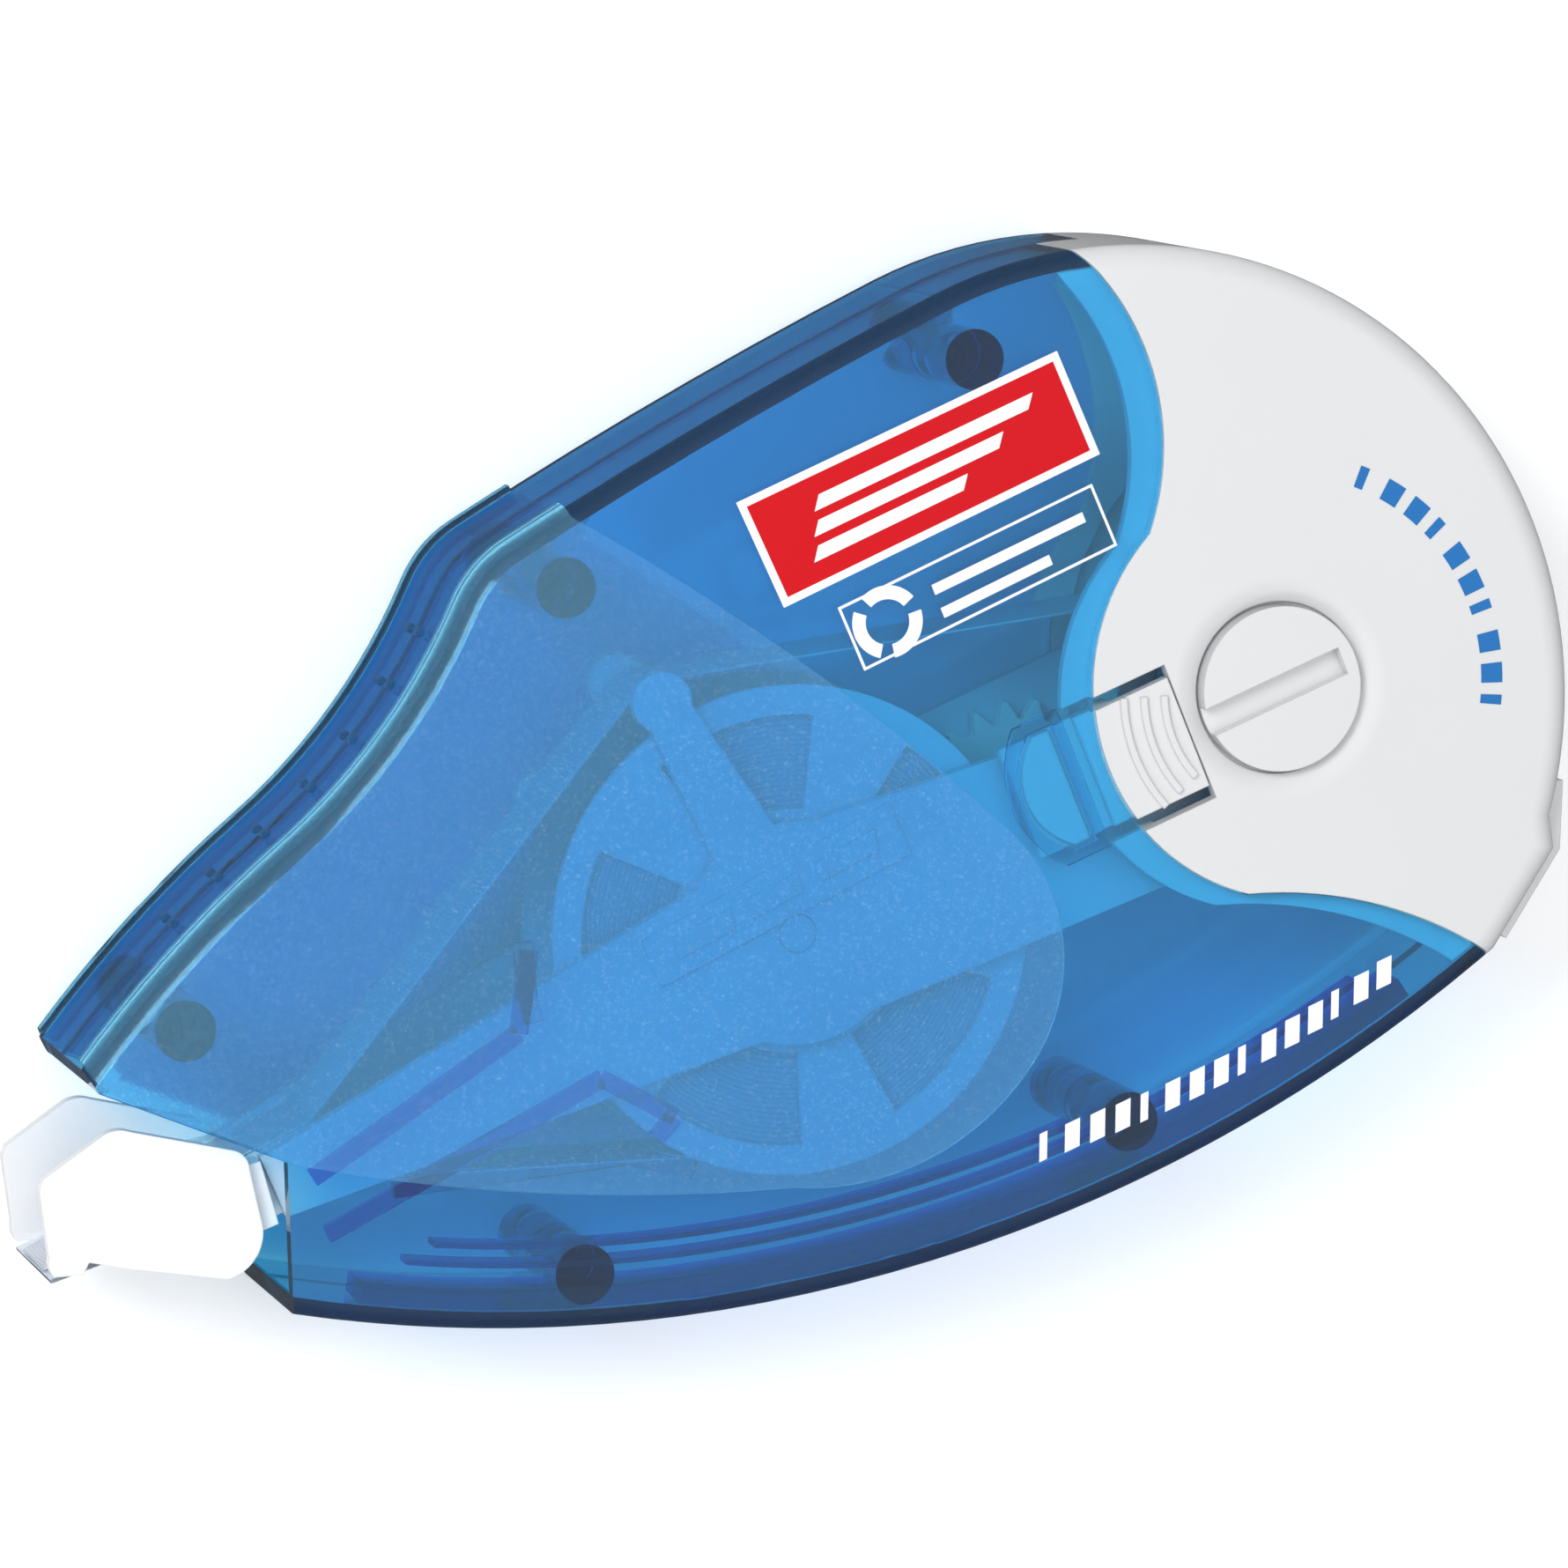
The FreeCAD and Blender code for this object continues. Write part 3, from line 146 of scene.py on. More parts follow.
class MouldedSurface(ShaderGroup):
    """Moulded plastic: slow colour drift, fine grain, and a height for the grain and flow marks."""

    label = "MouldedSurface"
    inputs = (
        ("Colour", "NodeSocketColor", (0.8, 0.8, 0.8)),
        ("Drift", "NodeSocketFloat", 0.03),
        ("Grain Scale", "NodeSocketFloat", 3000.0),
        ("Grain", "NodeSocketFloat", 0.2),
        ("Roughness", "NodeSocketFloat", 0.3),
        ("Roughness Spread", "NodeSocketFloat", 0.05),
    )
    outputs = (
        ("Colour", "NodeSocketColor"),
        ("Roughness", "NodeSocketFloat"),
        ("Height", "NodeSocketFloat"),
    )

    def fill(self) -> None:
        """Slow noise drifts the colour and roughness; fine noise and long flow marks make the height."""
        place = self.node("ShaderNodeTexCoord").outputs["Object"]
        slow = self.node("ShaderNodeTexNoise")
        slow.inputs["Scale"].default_value = 55.0
        slow.inputs["Detail"].default_value = 3.0
        self.link(place, slow.inputs["Vector"])
        fine = self.node("ShaderNodeTexNoise")
        fine.inputs["Detail"].default_value = 2.0
        self.link(place, fine.inputs["Vector"])
        self.link(self.entry.outputs["Grain Scale"], fine.inputs["Scale"])
        centred = self.maths("SUBTRACT", slow.outputs["Fac"], 0.5)
        drift = self.maths("MULTIPLY", centred, self.entry.outputs["Drift"])
        gain = self.maths("ADD", self.maths("MULTIPLY", drift, 2.0), 1.0)
        scaled = self.node("ShaderNodeVectorMath", operation="SCALE")
        self.link(self.entry.outputs["Colour"], scaled.inputs[0])
        self.link(gain, scaled.inputs["Scale"])
        self.link(scaled.outputs[0], self.exit.inputs["Colour"])
        spread = self.maths("MULTIPLY", centred, self.entry.outputs["Roughness Spread"])
        rough = self.maths("ADD", self.entry.outputs["Roughness"], self.maths("MULTIPLY", spread, 2.0))
        self.link(rough, self.exit.inputs["Roughness"])
        grain = self.maths("MULTIPLY", fine.outputs["Fac"], self.entry.outputs["Grain"])
        flow = self.maths("MULTIPLY", slow.outputs["Fac"], 0.35)
        self.link(self.maths("ADD", grain, flow), self.exit.inputs["Height"])


class RoundedEdge(ShaderGroup):
    """Edges that catch the light: a softened normal, and a mask along each edge."""

    label = "RoundedEdge"
    inputs = (("Radius", "NodeSocketFloat", 0.0002),)
    outputs = (("Normal", "NodeSocketVector"), ("Edge", "NodeSocketFloat"))

    def fill(self) -> None:
        """The bevelled normal leaves the true one only near an edge, which gives the mask."""
        bevel = self.node("ShaderNodeBevel", samples=4)
        self.link(self.entry.outputs["Radius"], bevel.inputs["Radius"])
        true = self.node("ShaderNodeNewGeometry").outputs["True Normal"]
        dot = self.node("ShaderNodeVectorMath", operation="DOT_PRODUCT")
        self.link(bevel.outputs["Normal"], dot.inputs[0])
        self.link(true, dot.inputs[1])
        away = self.maths("SUBTRACT", 1.0, dot.outputs["Value"])
        ramp = self.node("ShaderNodeMapRange")
        ramp.inputs["From Max"].default_value = 0.25
        self.link(away, ramp.inputs["Value"])
        self.link(bevel.outputs["Normal"], self.exit.inputs["Normal"])
        self.link(ramp.outputs["Result"], self.exit.inputs["Edge"])


class Sparkle(ShaderGroup):
    """Painted glints in a frosted skin: a mask of small lighter flecks that stand for glints, and a height that
    scatters the shine.
    """

    label = "Sparkle"
    inputs = (
        ("Scale", "NodeSocketFloat", 4500.0),
        ("Share", "NodeSocketFloat", 0.08),
    )
    outputs = (("Glint", "NodeSocketFloat"), ("Height", "NodeSocketFloat"))

    def fill(self) -> None:
        """Each small cell gets a random value, and the highest of them are the painted glint flecks."""
        place = self.node("ShaderNodeTexCoord").outputs["Object"]
        cells = self.node("ShaderNodeTexVoronoi", feature="F1")
        self.link(place, cells.inputs["Vector"])
        self.link(self.entry.outputs["Scale"], cells.inputs["Scale"])
        split = self.node("ShaderNodeSeparateColor")
        self.link(cells.outputs["Color"], split.inputs[0])
        rest = self.maths("SUBTRACT", 1.0, self.entry.outputs["Share"])
        painted_glint = self.maths("GREATER_THAN", split.outputs[0], rest)
        self.link(painted_glint, self.exit.inputs["Glint"])
        noise = self.node("ShaderNodeTexNoise")
        noise.inputs["Detail"].default_value = 3.0
        self.link(place, noise.inputs["Vector"])
        self.link(self.maths("MULTIPLY", self.entry.outputs["Scale"], 0.7), noise.inputs["Scale"])
        facets = self.maths("MULTIPLY", split.outputs[1], 0.4)
        self.link(self.maths("ADD", noise.outputs["Fac"], facets), self.exit.inputs["Height"])


class WoundLayers(ShaderGroup):
    """Edges of a wound tape: fine rings about an axis along Z, uneven as real layers are."""

    label = "WoundLayers"
    inputs = (
        ("Axis", "NodeSocketVector", (0.0, 0.0, 0.0)),
        ("Pitch", "NodeSocketFloat", 0.00035),
    )
    outputs = (("Ring", "NodeSocketFloat"), ("Height", "NodeSocketFloat"))

    def fill(self) -> None:
        """Distance from the axis, bent a little by noise, is cut into rings."""
        place = self.node("ShaderNodeTexCoord").outputs["Object"]
        away = self.node("ShaderNodeVectorMath", operation="SUBTRACT")
        self.link(place, away.inputs[0])
        self.link(self.entry.outputs["Axis"], away.inputs[1])
        flat = self.node("ShaderNodeVectorMath", operation="MULTIPLY")
        flat.inputs[1].default_value = (1.0, 1.0, 0.0)
        self.link(away.outputs[0], flat.inputs[0])
        reach = self.node("ShaderNodeVectorMath", operation="LENGTH")
        self.link(flat.outputs[0], reach.inputs[0])
        noise = self.node("ShaderNodeTexNoise")
        noise.inputs["Scale"].default_value = 260.0
        self.link(place, noise.inputs["Vector"])
        bent = self.maths("ADD", reach.outputs["Value"], self.maths("MULTIPLY", noise.outputs["Fac"], 0.0006))
        turns = self.maths("DIVIDE", bent, self.entry.outputs["Pitch"])
        part = self.maths("FRACT", turns)
        self.link(part, self.exit.inputs["Ring"])
        self.link(self.maths("PINGPONG", part, 0.5), self.exit.inputs["Height"])


class Groups:
    """The shader groups that the finishes share, each built once."""

    def __init__(self) -> None:
        """Builds them all."""
        self.moulded = MouldedSurface().tree
        self.edge = RoundedEdge().tree
        self.sparkle = Sparkle().tree
        self.layers = WoundLayers().tree


# ---------------------------------------------------------------- finishes


class MaterialTree:
    """A material's node tree, with short calls to add groups, bumps and the shader."""

    def __init__(self, name: str) -> None:
        """Starts an empty material with an output."""
        self.material = bpy.data.materials.new(name)
        self.material.use_nodes = True
        self.nodes = self.material.node_tree.nodes
        self.nodes.clear()
        self.output = self.nodes.new("ShaderNodeOutputMaterial")
        self.shader = self.nodes.new("ShaderNodeBsdfPrincipled")
        self.link(self.shader.outputs[0], self.output.inputs["Surface"])

    def link(self, source: bpy.types.NodeSocket, target: bpy.types.NodeSocket) -> None:
        """Links two sockets."""
        self.material.node_tree.links.new(source, target)

    def group(self, tree: bpy.types.NodeTree, **values: object) -> bpy.types.Node:
        """Places a shader group with its own values.

        Args:
            tree: the group.
            values: input values, with _ for each space in a socket's name.

        Returns:
            The group's node.
        """
        made = self.nodes.new("ShaderNodeGroup")
        made.node_tree = tree
        for key, value in values.items():
            socket = made.inputs[key.replace("_", " ")]
            wide = isinstance(value, tuple) and socket.type == "RGBA"
            socket.default_value = (*value, 1.0) if wide else value
        return made

    def bump(
        self, height: bpy.types.NodeSocket, distance: float, strength: float = 1.0,
        under: bpy.types.NodeSocket | None = None,
    ) -> bpy.types.NodeSocket:
        """Adds a Bump node.

        Args:
            height: the socket that gives the height, from 0 to 1.
            distance: how deep that height goes, in metres.
            strength: the node's strength.
            under: the normal that the bump stands on.

        Returns:
            The bumped normal's socket.
        """
        made = self.nodes.new("ShaderNodeBump")
        made.inputs["Strength"].default_value = strength
        made.inputs["Distance"].default_value = distance
        self.link(height, made.inputs["Height"])
        if under is not None:
            self.link(under, made.inputs["Normal"])
        return made.outputs[0]

    def mix(self, factor: bpy.types.NodeSocket, first: object, second: Colour) -> bpy.types.NodeSocket:
        """Mixes two colours by a mask.

        Args:
            factor: the mask.
            first: a colour or a socket.
            second: the colour where the mask is 1.

        Returns:
            The mixed colour's socket.
        """
        made = self.nodes.new("ShaderNodeMix")
        made.data_type = "RGBA"
        self.link(factor, made.inputs[0])
        if isinstance(first, bpy.types.NodeSocket):
            self.link(first, made.inputs[6])
        else:
            made.inputs[6].default_value = (*first, 1.0)
        made.inputs[7].default_value = (*second, 1.0)
        return made.outputs[2]

    def lamps_through(self, tint: Colour) -> None:
        """Lets lamps reach what is behind the shader, tinted, as light does through real plastic."""
        path = self.nodes.new("ShaderNodeLightPath")
        clear = self.nodes.new("ShaderNodeBsdfTransparent")
        clear.inputs["Color"].default_value = (*tint, 1.0)
        mixed = self.nodes.new("ShaderNodeMixShader")
        self.link(path.outputs["Is Shadow Ray"], mixed.inputs[0])
        self.link(self.shader.outputs[0], mixed.inputs[1])
        self.link(clear.outputs[0], mixed.inputs[2])
        self.link(mixed.outputs[0], self.output.inputs["Surface"])

    def absorb(self, passed: Colour, density: float) -> None:
        """Fills the solid with a dye that darkens with depth."""
        dye = self.nodes.new("ShaderNodeVolumeAbsorption")
        dye.inputs["Color"].default_value = (*passed, 1.0)
        dye.inputs["Density"].default_value = density
        self.link(dye.outputs[0], self.output.inputs["Volume"])


@dataclass(frozen=True)
class MouldedPlastic:
    """Opaque moulded plastic, from gloss to satin, with a painted highlight along its edges."""

    name: str
    colour: Colour
    roughness: float
    drift: float = 0.02
    spread: float = 0.04
    grain_scale: float = 2600.0
    grain_depth: float = 0.000006
    edge_radius: float = 0.00018
    edge_highlight_colour: Colour = (0.95, 0.95, 0.95)
    edge_highlight_share: float = 0.15
    coat: float = 0.0
    subsurface: float = 0.0
    subsurface_radius: Colour = (1.0, 0.9, 0.85)
    ior: float = 1.5

    def build(self, groups: Groups) -> bpy.types.Material:
        """Builds the material.

        Args:
            groups: the shared shader groups.

        Returns:
            The material.
        """
        tree = MaterialTree(self.name)
        moulded = tree.group(
            groups.moulded, Colour=self.colour, Drift=self.drift, Grain_Scale=self.grain_scale, Grain=1.0,
            Roughness=self.roughness, Roughness_Spread=self.spread,
        )
        edge = tree.group(groups.edge, Radius=self.edge_radius)
        # Painted highlight: the edge mask lifts the base colour towards the lighter edge colour along each edge.
        lift = tree.nodes.new("ShaderNodeMath")
        lift.operation = "MULTIPLY"
        lift.inputs[1].default_value = self.edge_highlight_share
        tree.link(edge.outputs["Edge"], lift.inputs[0])
        colour = tree.mix(lift.outputs[0], moulded.outputs["Colour"], self.edge_highlight_colour)
        tree.link(colour, tree.shader.inputs["Base Color"])
        tree.link(moulded.outputs["Roughness"], tree.shader.inputs["Roughness"])
        normal = tree.bump(moulded.outputs["Height"], self.grain_depth, 0.6, edge.outputs["Normal"])
        tree.link(normal, tree.shader.inputs["Normal"])
        tree.shader.inputs["IOR"].default_value = self.ior
        tree.shader.inputs["Coat Weight"].default_value = self.coat
        tree.shader.inputs["Coat Roughness"].default_value = 0.08
        tree.shader.inputs["Subsurface Weight"].default_value = self.subsurface
        tree.shader.inputs["Subsurface Radius"].default_value = self.subsurface_radius
        tree.shader.inputs["Subsurface Scale"].default_value = 0.0012
        return tree.material


@dataclass(frozen=True)
class ClearDyed:
    """Clear dyed plastic whose colour comes from its depth."""

    name: str
    surface: Colour
    passed: Colour
    density: float
    shadow_tint: Colour
    roughness: float = 0.03
    grain_depth: float = 0.000003
    clear_share: float = 0.96
    ior: float = 1.42

    def build(self, groups: Groups) -> bpy.types.Material:
        """Builds the material.

        Args:
            groups: the shared shader groups.

        Returns:
            The material.
        """
        tree = MaterialTree(self.name)
        moulded = tree.group(
            groups.moulded, Colour=self.surface, Drift=0.03, Grain_Scale=700.0, Grain=0.5,
            Roughness=self.roughness, Roughness_Spread=0.02,
        )
        tree.link(moulded.outputs["Colour"], tree.shader.inputs["Base Color"])
        tree.link(moulded.outputs["Roughness"], tree.shader.inputs["Roughness"])
        tree.link(tree.bump(moulded.outputs["Height"], self.grain_depth, 0.5), tree.shader.inputs["Normal"])
        tree.shader.inputs["Transmission Weight"].default_value = self.clear_share
        tree.shader.inputs["IOR"].default_value = self.ior
        tree.lamps_through(self.shadow_tint)
        tree.absorb(self.passed, self.density)
        return tree.material


@dataclass(frozen=True)
class FrostedSkin:
    """A frosted, slightly milky skin with fine lighter flecks that paint its glints."""

    name: str
    surface: Colour
    painted_glint: Colour
    passed: Colour
    density: float
    shadow_tint: Colour
    roughness: float = 0.06
    clear_share: float = 0.95
    fleck_scale: float = 5200.0
    fleck_share: float = 0.07
    grain_depth: float = 0.000012
    ior: float = 1.36

    def build(self, groups: Groups) -> bpy.types.Material:
        """Builds the material.

        Args:
            groups: the shared shader groups.

        Returns:
            The material.
        """
        tree = MaterialTree(self.name)
        moulded = tree.group(
            groups.moulded, Colour=self.surface, Drift=0.05, Grain_Scale=1500.0, Grain=1.0,
            Roughness=self.roughness, Roughness_Spread=0.05,
        )
        sparkle = tree.group(groups.sparkle, Scale=self.fleck_scale, Share=self.fleck_share)
        # Painted glints: the fleck mask lifts the colour to the lighter glint colour.
        colour = tree.mix(sparkle.outputs["Glint"], moulded.outputs["Colour"], self.painted_glint)
        tree.link(colour, tree.shader.inputs["Base Color"])
        tree.link(moulded.outputs["Roughness"], tree.shader.inputs["Roughness"])
        tree.link(tree.bump(sparkle.outputs["Height"], self.grain_depth, 0.5), tree.shader.inputs["Normal"])
        tree.shader.inputs["Transmission Weight"].default_value = self.clear_share
        tree.shader.inputs["IOR"].default_value = self.ior
        tree.lamps_through(self.shadow_tint)
        tree.absorb(self.passed, self.density)
        return tree.material


@dataclass(frozen=True)
class TapeWinding:
    """The side of a wound tape, with its layers as fine rings."""

    name: str
    light: Colour
    dark: Colour
    axis: tuple[float, float, float]
    pitch: float = 0.0004
    roughness: float = 0.45
    see_through: float = 0.0

    def build(self, groups: Groups) -> bpy.types.Material:
        """Builds the material.

        Args:
            groups: the shared shader groups.

        Returns:
            The material.
        """
        tree = MaterialTree(self.name)
        layers = tree.group(groups.layers, Axis=self.axis, Pitch=self.pitch)
        tree.link(tree.mix(layers.outputs["Ring"], self.light, self.dark), tree.shader.inputs["Base Color"])
        moulded = tree.group(groups.moulded, Roughness=self.roughness, Roughness_Spread=0.08)
        tree.link(moulded.outputs["Roughness"], tree.shader.inputs["Roughness"])
        tree.link(tree.bump(layers.outputs["Height"], 0.00004, 0.6), tree.shader.inputs["Normal"])
        tree.shader.inputs["Transmission Weight"].default_value = self.see_through
        return tree.material


@dataclass(frozen=True)
class PrintedInk:
    """Flat printed ink with a little unevenness."""

    name: str
    colour: Colour
    roughness: float = 0.35

    def build(self, groups: Groups) -> bpy.types.Material:
        """Builds the material.

        Args:
            groups: the shared shader groups.

        Returns:
            The material.
        """
        tree = MaterialTree(self.name)
        moulded = tree.group(
            groups.moulded, Colour=self.colour, Drift=0.04, Grain_Scale=5000.0, Grain=0.6,
            Roughness=self.roughness, Roughness_Spread=0.08,
        )
        tree.link(moulded.outputs["Colour"], tree.shader.inputs["Base Color"])
        tree.link(moulded.outputs["Roughness"], tree.shader.inputs["Roughness"])
        tree.link(tree.bump(moulded.outputs["Height"], 0.000004, 0.4), tree.shader.inputs["Normal"])
        tree.shader.inputs["Specular IOR Level"].default_value = 0.2
        return tree.material


FINISHES: dict[Slot, object] = {
    Slot.CLEAR_BLUE: ClearDyed(
        "ClearBlue", surface=(0.38, 0.73, 0.94), passed=(0.12, 0.73, 0.84), density=850.0,
        shadow_tint=(0.95, 0.97, 0.99),
    ),
    Slot.FROSTED_BLUE: FrostedSkin(
        "FrostedBlue", surface=(0.46, 0.77, 0.93), painted_glint=(0.85, 0.93, 1.0), passed=(0.12, 0.73, 0.84), density=850.0,
        shadow_tint=(0.93, 0.96, 0.99),
    ),
    Slot.GLOSS_WHITE: MouldedPlastic("GlossWhite", (0.68, 0.685, 0.695), 0.2, coat=0.25, subsurface=0.05),
    Slot.CASSETTE_WHITE: MouldedPlastic("CassetteWhite", (0.56, 0.61, 0.68), 0.4, subsurface=0.1, grain_scale=1800.0),
    Slot.SATIN_WHITE: MouldedPlastic(
        "SatinWhite", (0.85, 0.85, 0.86), 0.45, subsurface=0.1, grain_scale=3500.0, grain_depth=0.00001,
    ),
    Slot.ACETAL: MouldedPlastic("Acetal", (0.78, 0.78, 0.74), 0.4, subsurface=0.1),
    # The rubber's grey edge colour is a painted highlight along its edges.
    Slot.CLUTCH_RUBBER: MouldedPlastic("ClutchRubber", grey(0.02), 0.8, edge_highlight_colour=grey(0.06), grain_depth=0.00002),
    Slot.CORRECTION_TAPE: TapeWinding("TapeWinding", grey(0.80), (0.62, 0.64, 0.68), (0.0, 0.0, 0.0)),
    Slot.BACKING_RIBBON: TapeWinding(
        "RibbonWinding", (0.62, 0.66, 0.72), (0.45, 0.49, 0.56), (0.0432, 0.0024, 0.0), pitch=0.0003, roughness=0.25,
    ),
}
# Painted shade: a darker, denser blue with little shine for the guide ribs and keel rails, standing for the shade
# seen along them through the shell.
PAINTED_SHADE_BLUE = ClearDyed(
    "PaintedShadeBlue", surface=(0.10, 0.30, 0.80), passed=(0.10, 0.35, 0.70), density=700.0, shadow_tint=(0.8, 0.9, 1.0),
    roughness=0.1, ior=1.12,
)
# Painted shade: the tape roll's side is darker than the tape, for the shade seen through the flange's windows.
SHADED_ROLL_SIDE = TapeWinding("ShadedRollSide", (0.40, 0.46, 0.56), (0.24, 0.29, 0.38), (0.0, 0.0, 0.0))
BLADE = ClearDyed(
    "BladeClear", surface=(0.80, 0.86, 0.92), passed=(0.80, 0.90, 0.97), density=120.0, shadow_tint=(0.85, 0.9, 0.95),
    roughness=0.28, grain_depth=0.00001,
)


class Palette:
    """Every finish, built once and handed out by slot or name."""

    def __init__(self, groups: Groups) -> None:
        """Builds the slots' finishes and the inks."""
        self.slots = {slot: finish.build(groups) for slot, finish in FINISHES.items()}
        self.slots[Slot.BLADE_CLEAR] = BLADE.build(groups)
        # Painted shade: the darker winding for the tape roll's side.
        self.shaded_roll_side = SHADED_ROLL_SIDE.build(groups)
        # Painted shade blue for the guide ribs and keel rails.
        self.painted_shade_blue = PAINTED_SHADE_BLUE.build(groups)
        self.white_ink = PrintedInk("WhiteInk", grey(0.88)).build(groups)
        self.red_ink = PrintedInk("RedInk", (0.60, 0.004, 0.010)).build(groups)
        self.blue_ink = PrintedInk("BlueInk", (0.02, 0.16, 0.45)).build(groups)

    def dress(self, node: str, slot: Slot) -> None:
        """Puts a slot's finish on a CAD node."""
        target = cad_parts[node]
        target.data.materials.clear()
        target.data.materials.append(self.slots[slot])
        LOG.info("dressed %s as %s", node, slot.value)


# ---------------------------------------------------------------- mesh tools


@dataclass
class Workshop:
    """Builds thin printed and moulded pieces and sets them on a body."""

    palette: Palette
    made: list[str] = field(default_factory=list)

    def finish_piece(
        self, name: str, shape: bmesh.types.BMesh, material: bpy.types.Material, body: Body, slot: Slot,
    ) -> bpy.types.Object:
        """Turns a bmesh into a piece that rides on a body.

        Args:
            name: the piece's name.
            shape: its mesh, in metres in the row frame, which this call frees.
            material: its material.
            body: the body it rides on.
            slot: the record's slot for the piece; not used.

        Returns:
            The piece.
        """
        bmesh.ops.recalc_face_normals(shape, faces=shape.faces)
        mesh = bpy.data.meshes.new(name)
        shape.to_mesh(mesh)
        shape.free()
        mesh.materials.append(material)
        piece = bpy.data.objects.new(name, mesh)
        bpy.context.scene.collection.objects.link(piece)
        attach(piece, body.value)
        self.made.append(name)
        LOG.info("built %s on %s", name, body.value)
        return piece

    def prisms(self, outlines: Iterable[Sequence[Pair]], low: float, high: float) -> bmesh.types.BMesh:
        """Stands each outline up between two heights.

        Args:
            outlines: closed outlines, in millimetres.
            low: the lower height, in millimetres.
            high: the upper height, in millimetres.

        Returns:
            The mesh, in metres.
        """
        shape = bmesh.new()
        for outline in outlines:
            floor = [shape.verts.new((x * MM, y * MM, low * MM)) for x, y in outline]
            roof = [shape.verts.new((x * MM, y * MM, high * MM)) for x, y in outline]
            shape.faces.new(list(reversed(floor)))
            shape.faces.new(roof)
            for a in range(len(outline)):
                b = (a + 1) % len(outline)
                shape.faces.new((floor[a], floor[b], roof[b], roof[a]))
        return shape

    def bands(
        self, loops: Iterable[tuple[Sequence[Pair], Sequence[Pair]]], low: float, high: float,
    ) -> bmesh.types.BMesh:
        """Stands up the band between each pair of loops.

        Args:
            loops: pairs of outer and inner loops with equal counts, in millimetres.
            low: the lower height, in millimetres.
            high: the upper height, in millimetres.

        Returns:
            The mesh, in metres.
        """
        shape = bmesh.new()
        for outer, inner in loops:
            corners = ((outer, low), (outer, high), (inner, high), (inner, low))
            rows = [[shape.verts.new((x * MM, y * MM, z * MM)) for x, y in loop] for loop, z in corners]
            for a in range(len(outer)):
                b = (a + 1) % len(outer)
                for row, following in zip(rows, rows[1:] + rows[:1]):
                    shape.faces.new((row[a], row[b], following[b], following[a]))
        return shape


def along(start: Pair, end: Pair, share: float) -> Pair:
    """The point at that share of the way from start to end."""
    return (start[0] + (end[0] - start[0]) * share, start[1] + (end[1] - start[1]) * share)


def arc_bar(centre: Pair, inner: float, outer: float, start: float, end: float, count: int = 6) -> list[Pair]:
    """A bar bent round a centre.

    Args:
        centre: the centre, in millimetres.
        inner: the inner radius.
        outer: the outer radius.
        start: the first angle, in degrees.
        end: the last angle, in degrees.
        count: how many steps each side has.

    Returns:
        The closed outline.
    """
    turns = [math.radians(start + (end - start) * i / count) for i in range(count + 1)]
    far = [(centre[0] + outer * math.cos(t), centre[1] + outer * math.sin(t)) for t in turns]
    near = [(centre[0] + inner * math.cos(t), centre[1] + inner * math.sin(t)) for t in reversed(turns)]
    return far + near


# ---------------------------------------------------------------- sub-assemblies


@dataclass(frozen=True)
class KeelRail:
    """A long rail inside the belly: how far it lies off the outline, where it starts in height, and its ends."""

    name: str
    inner: float
    outer: float
    low: float
    left: float
    right: float


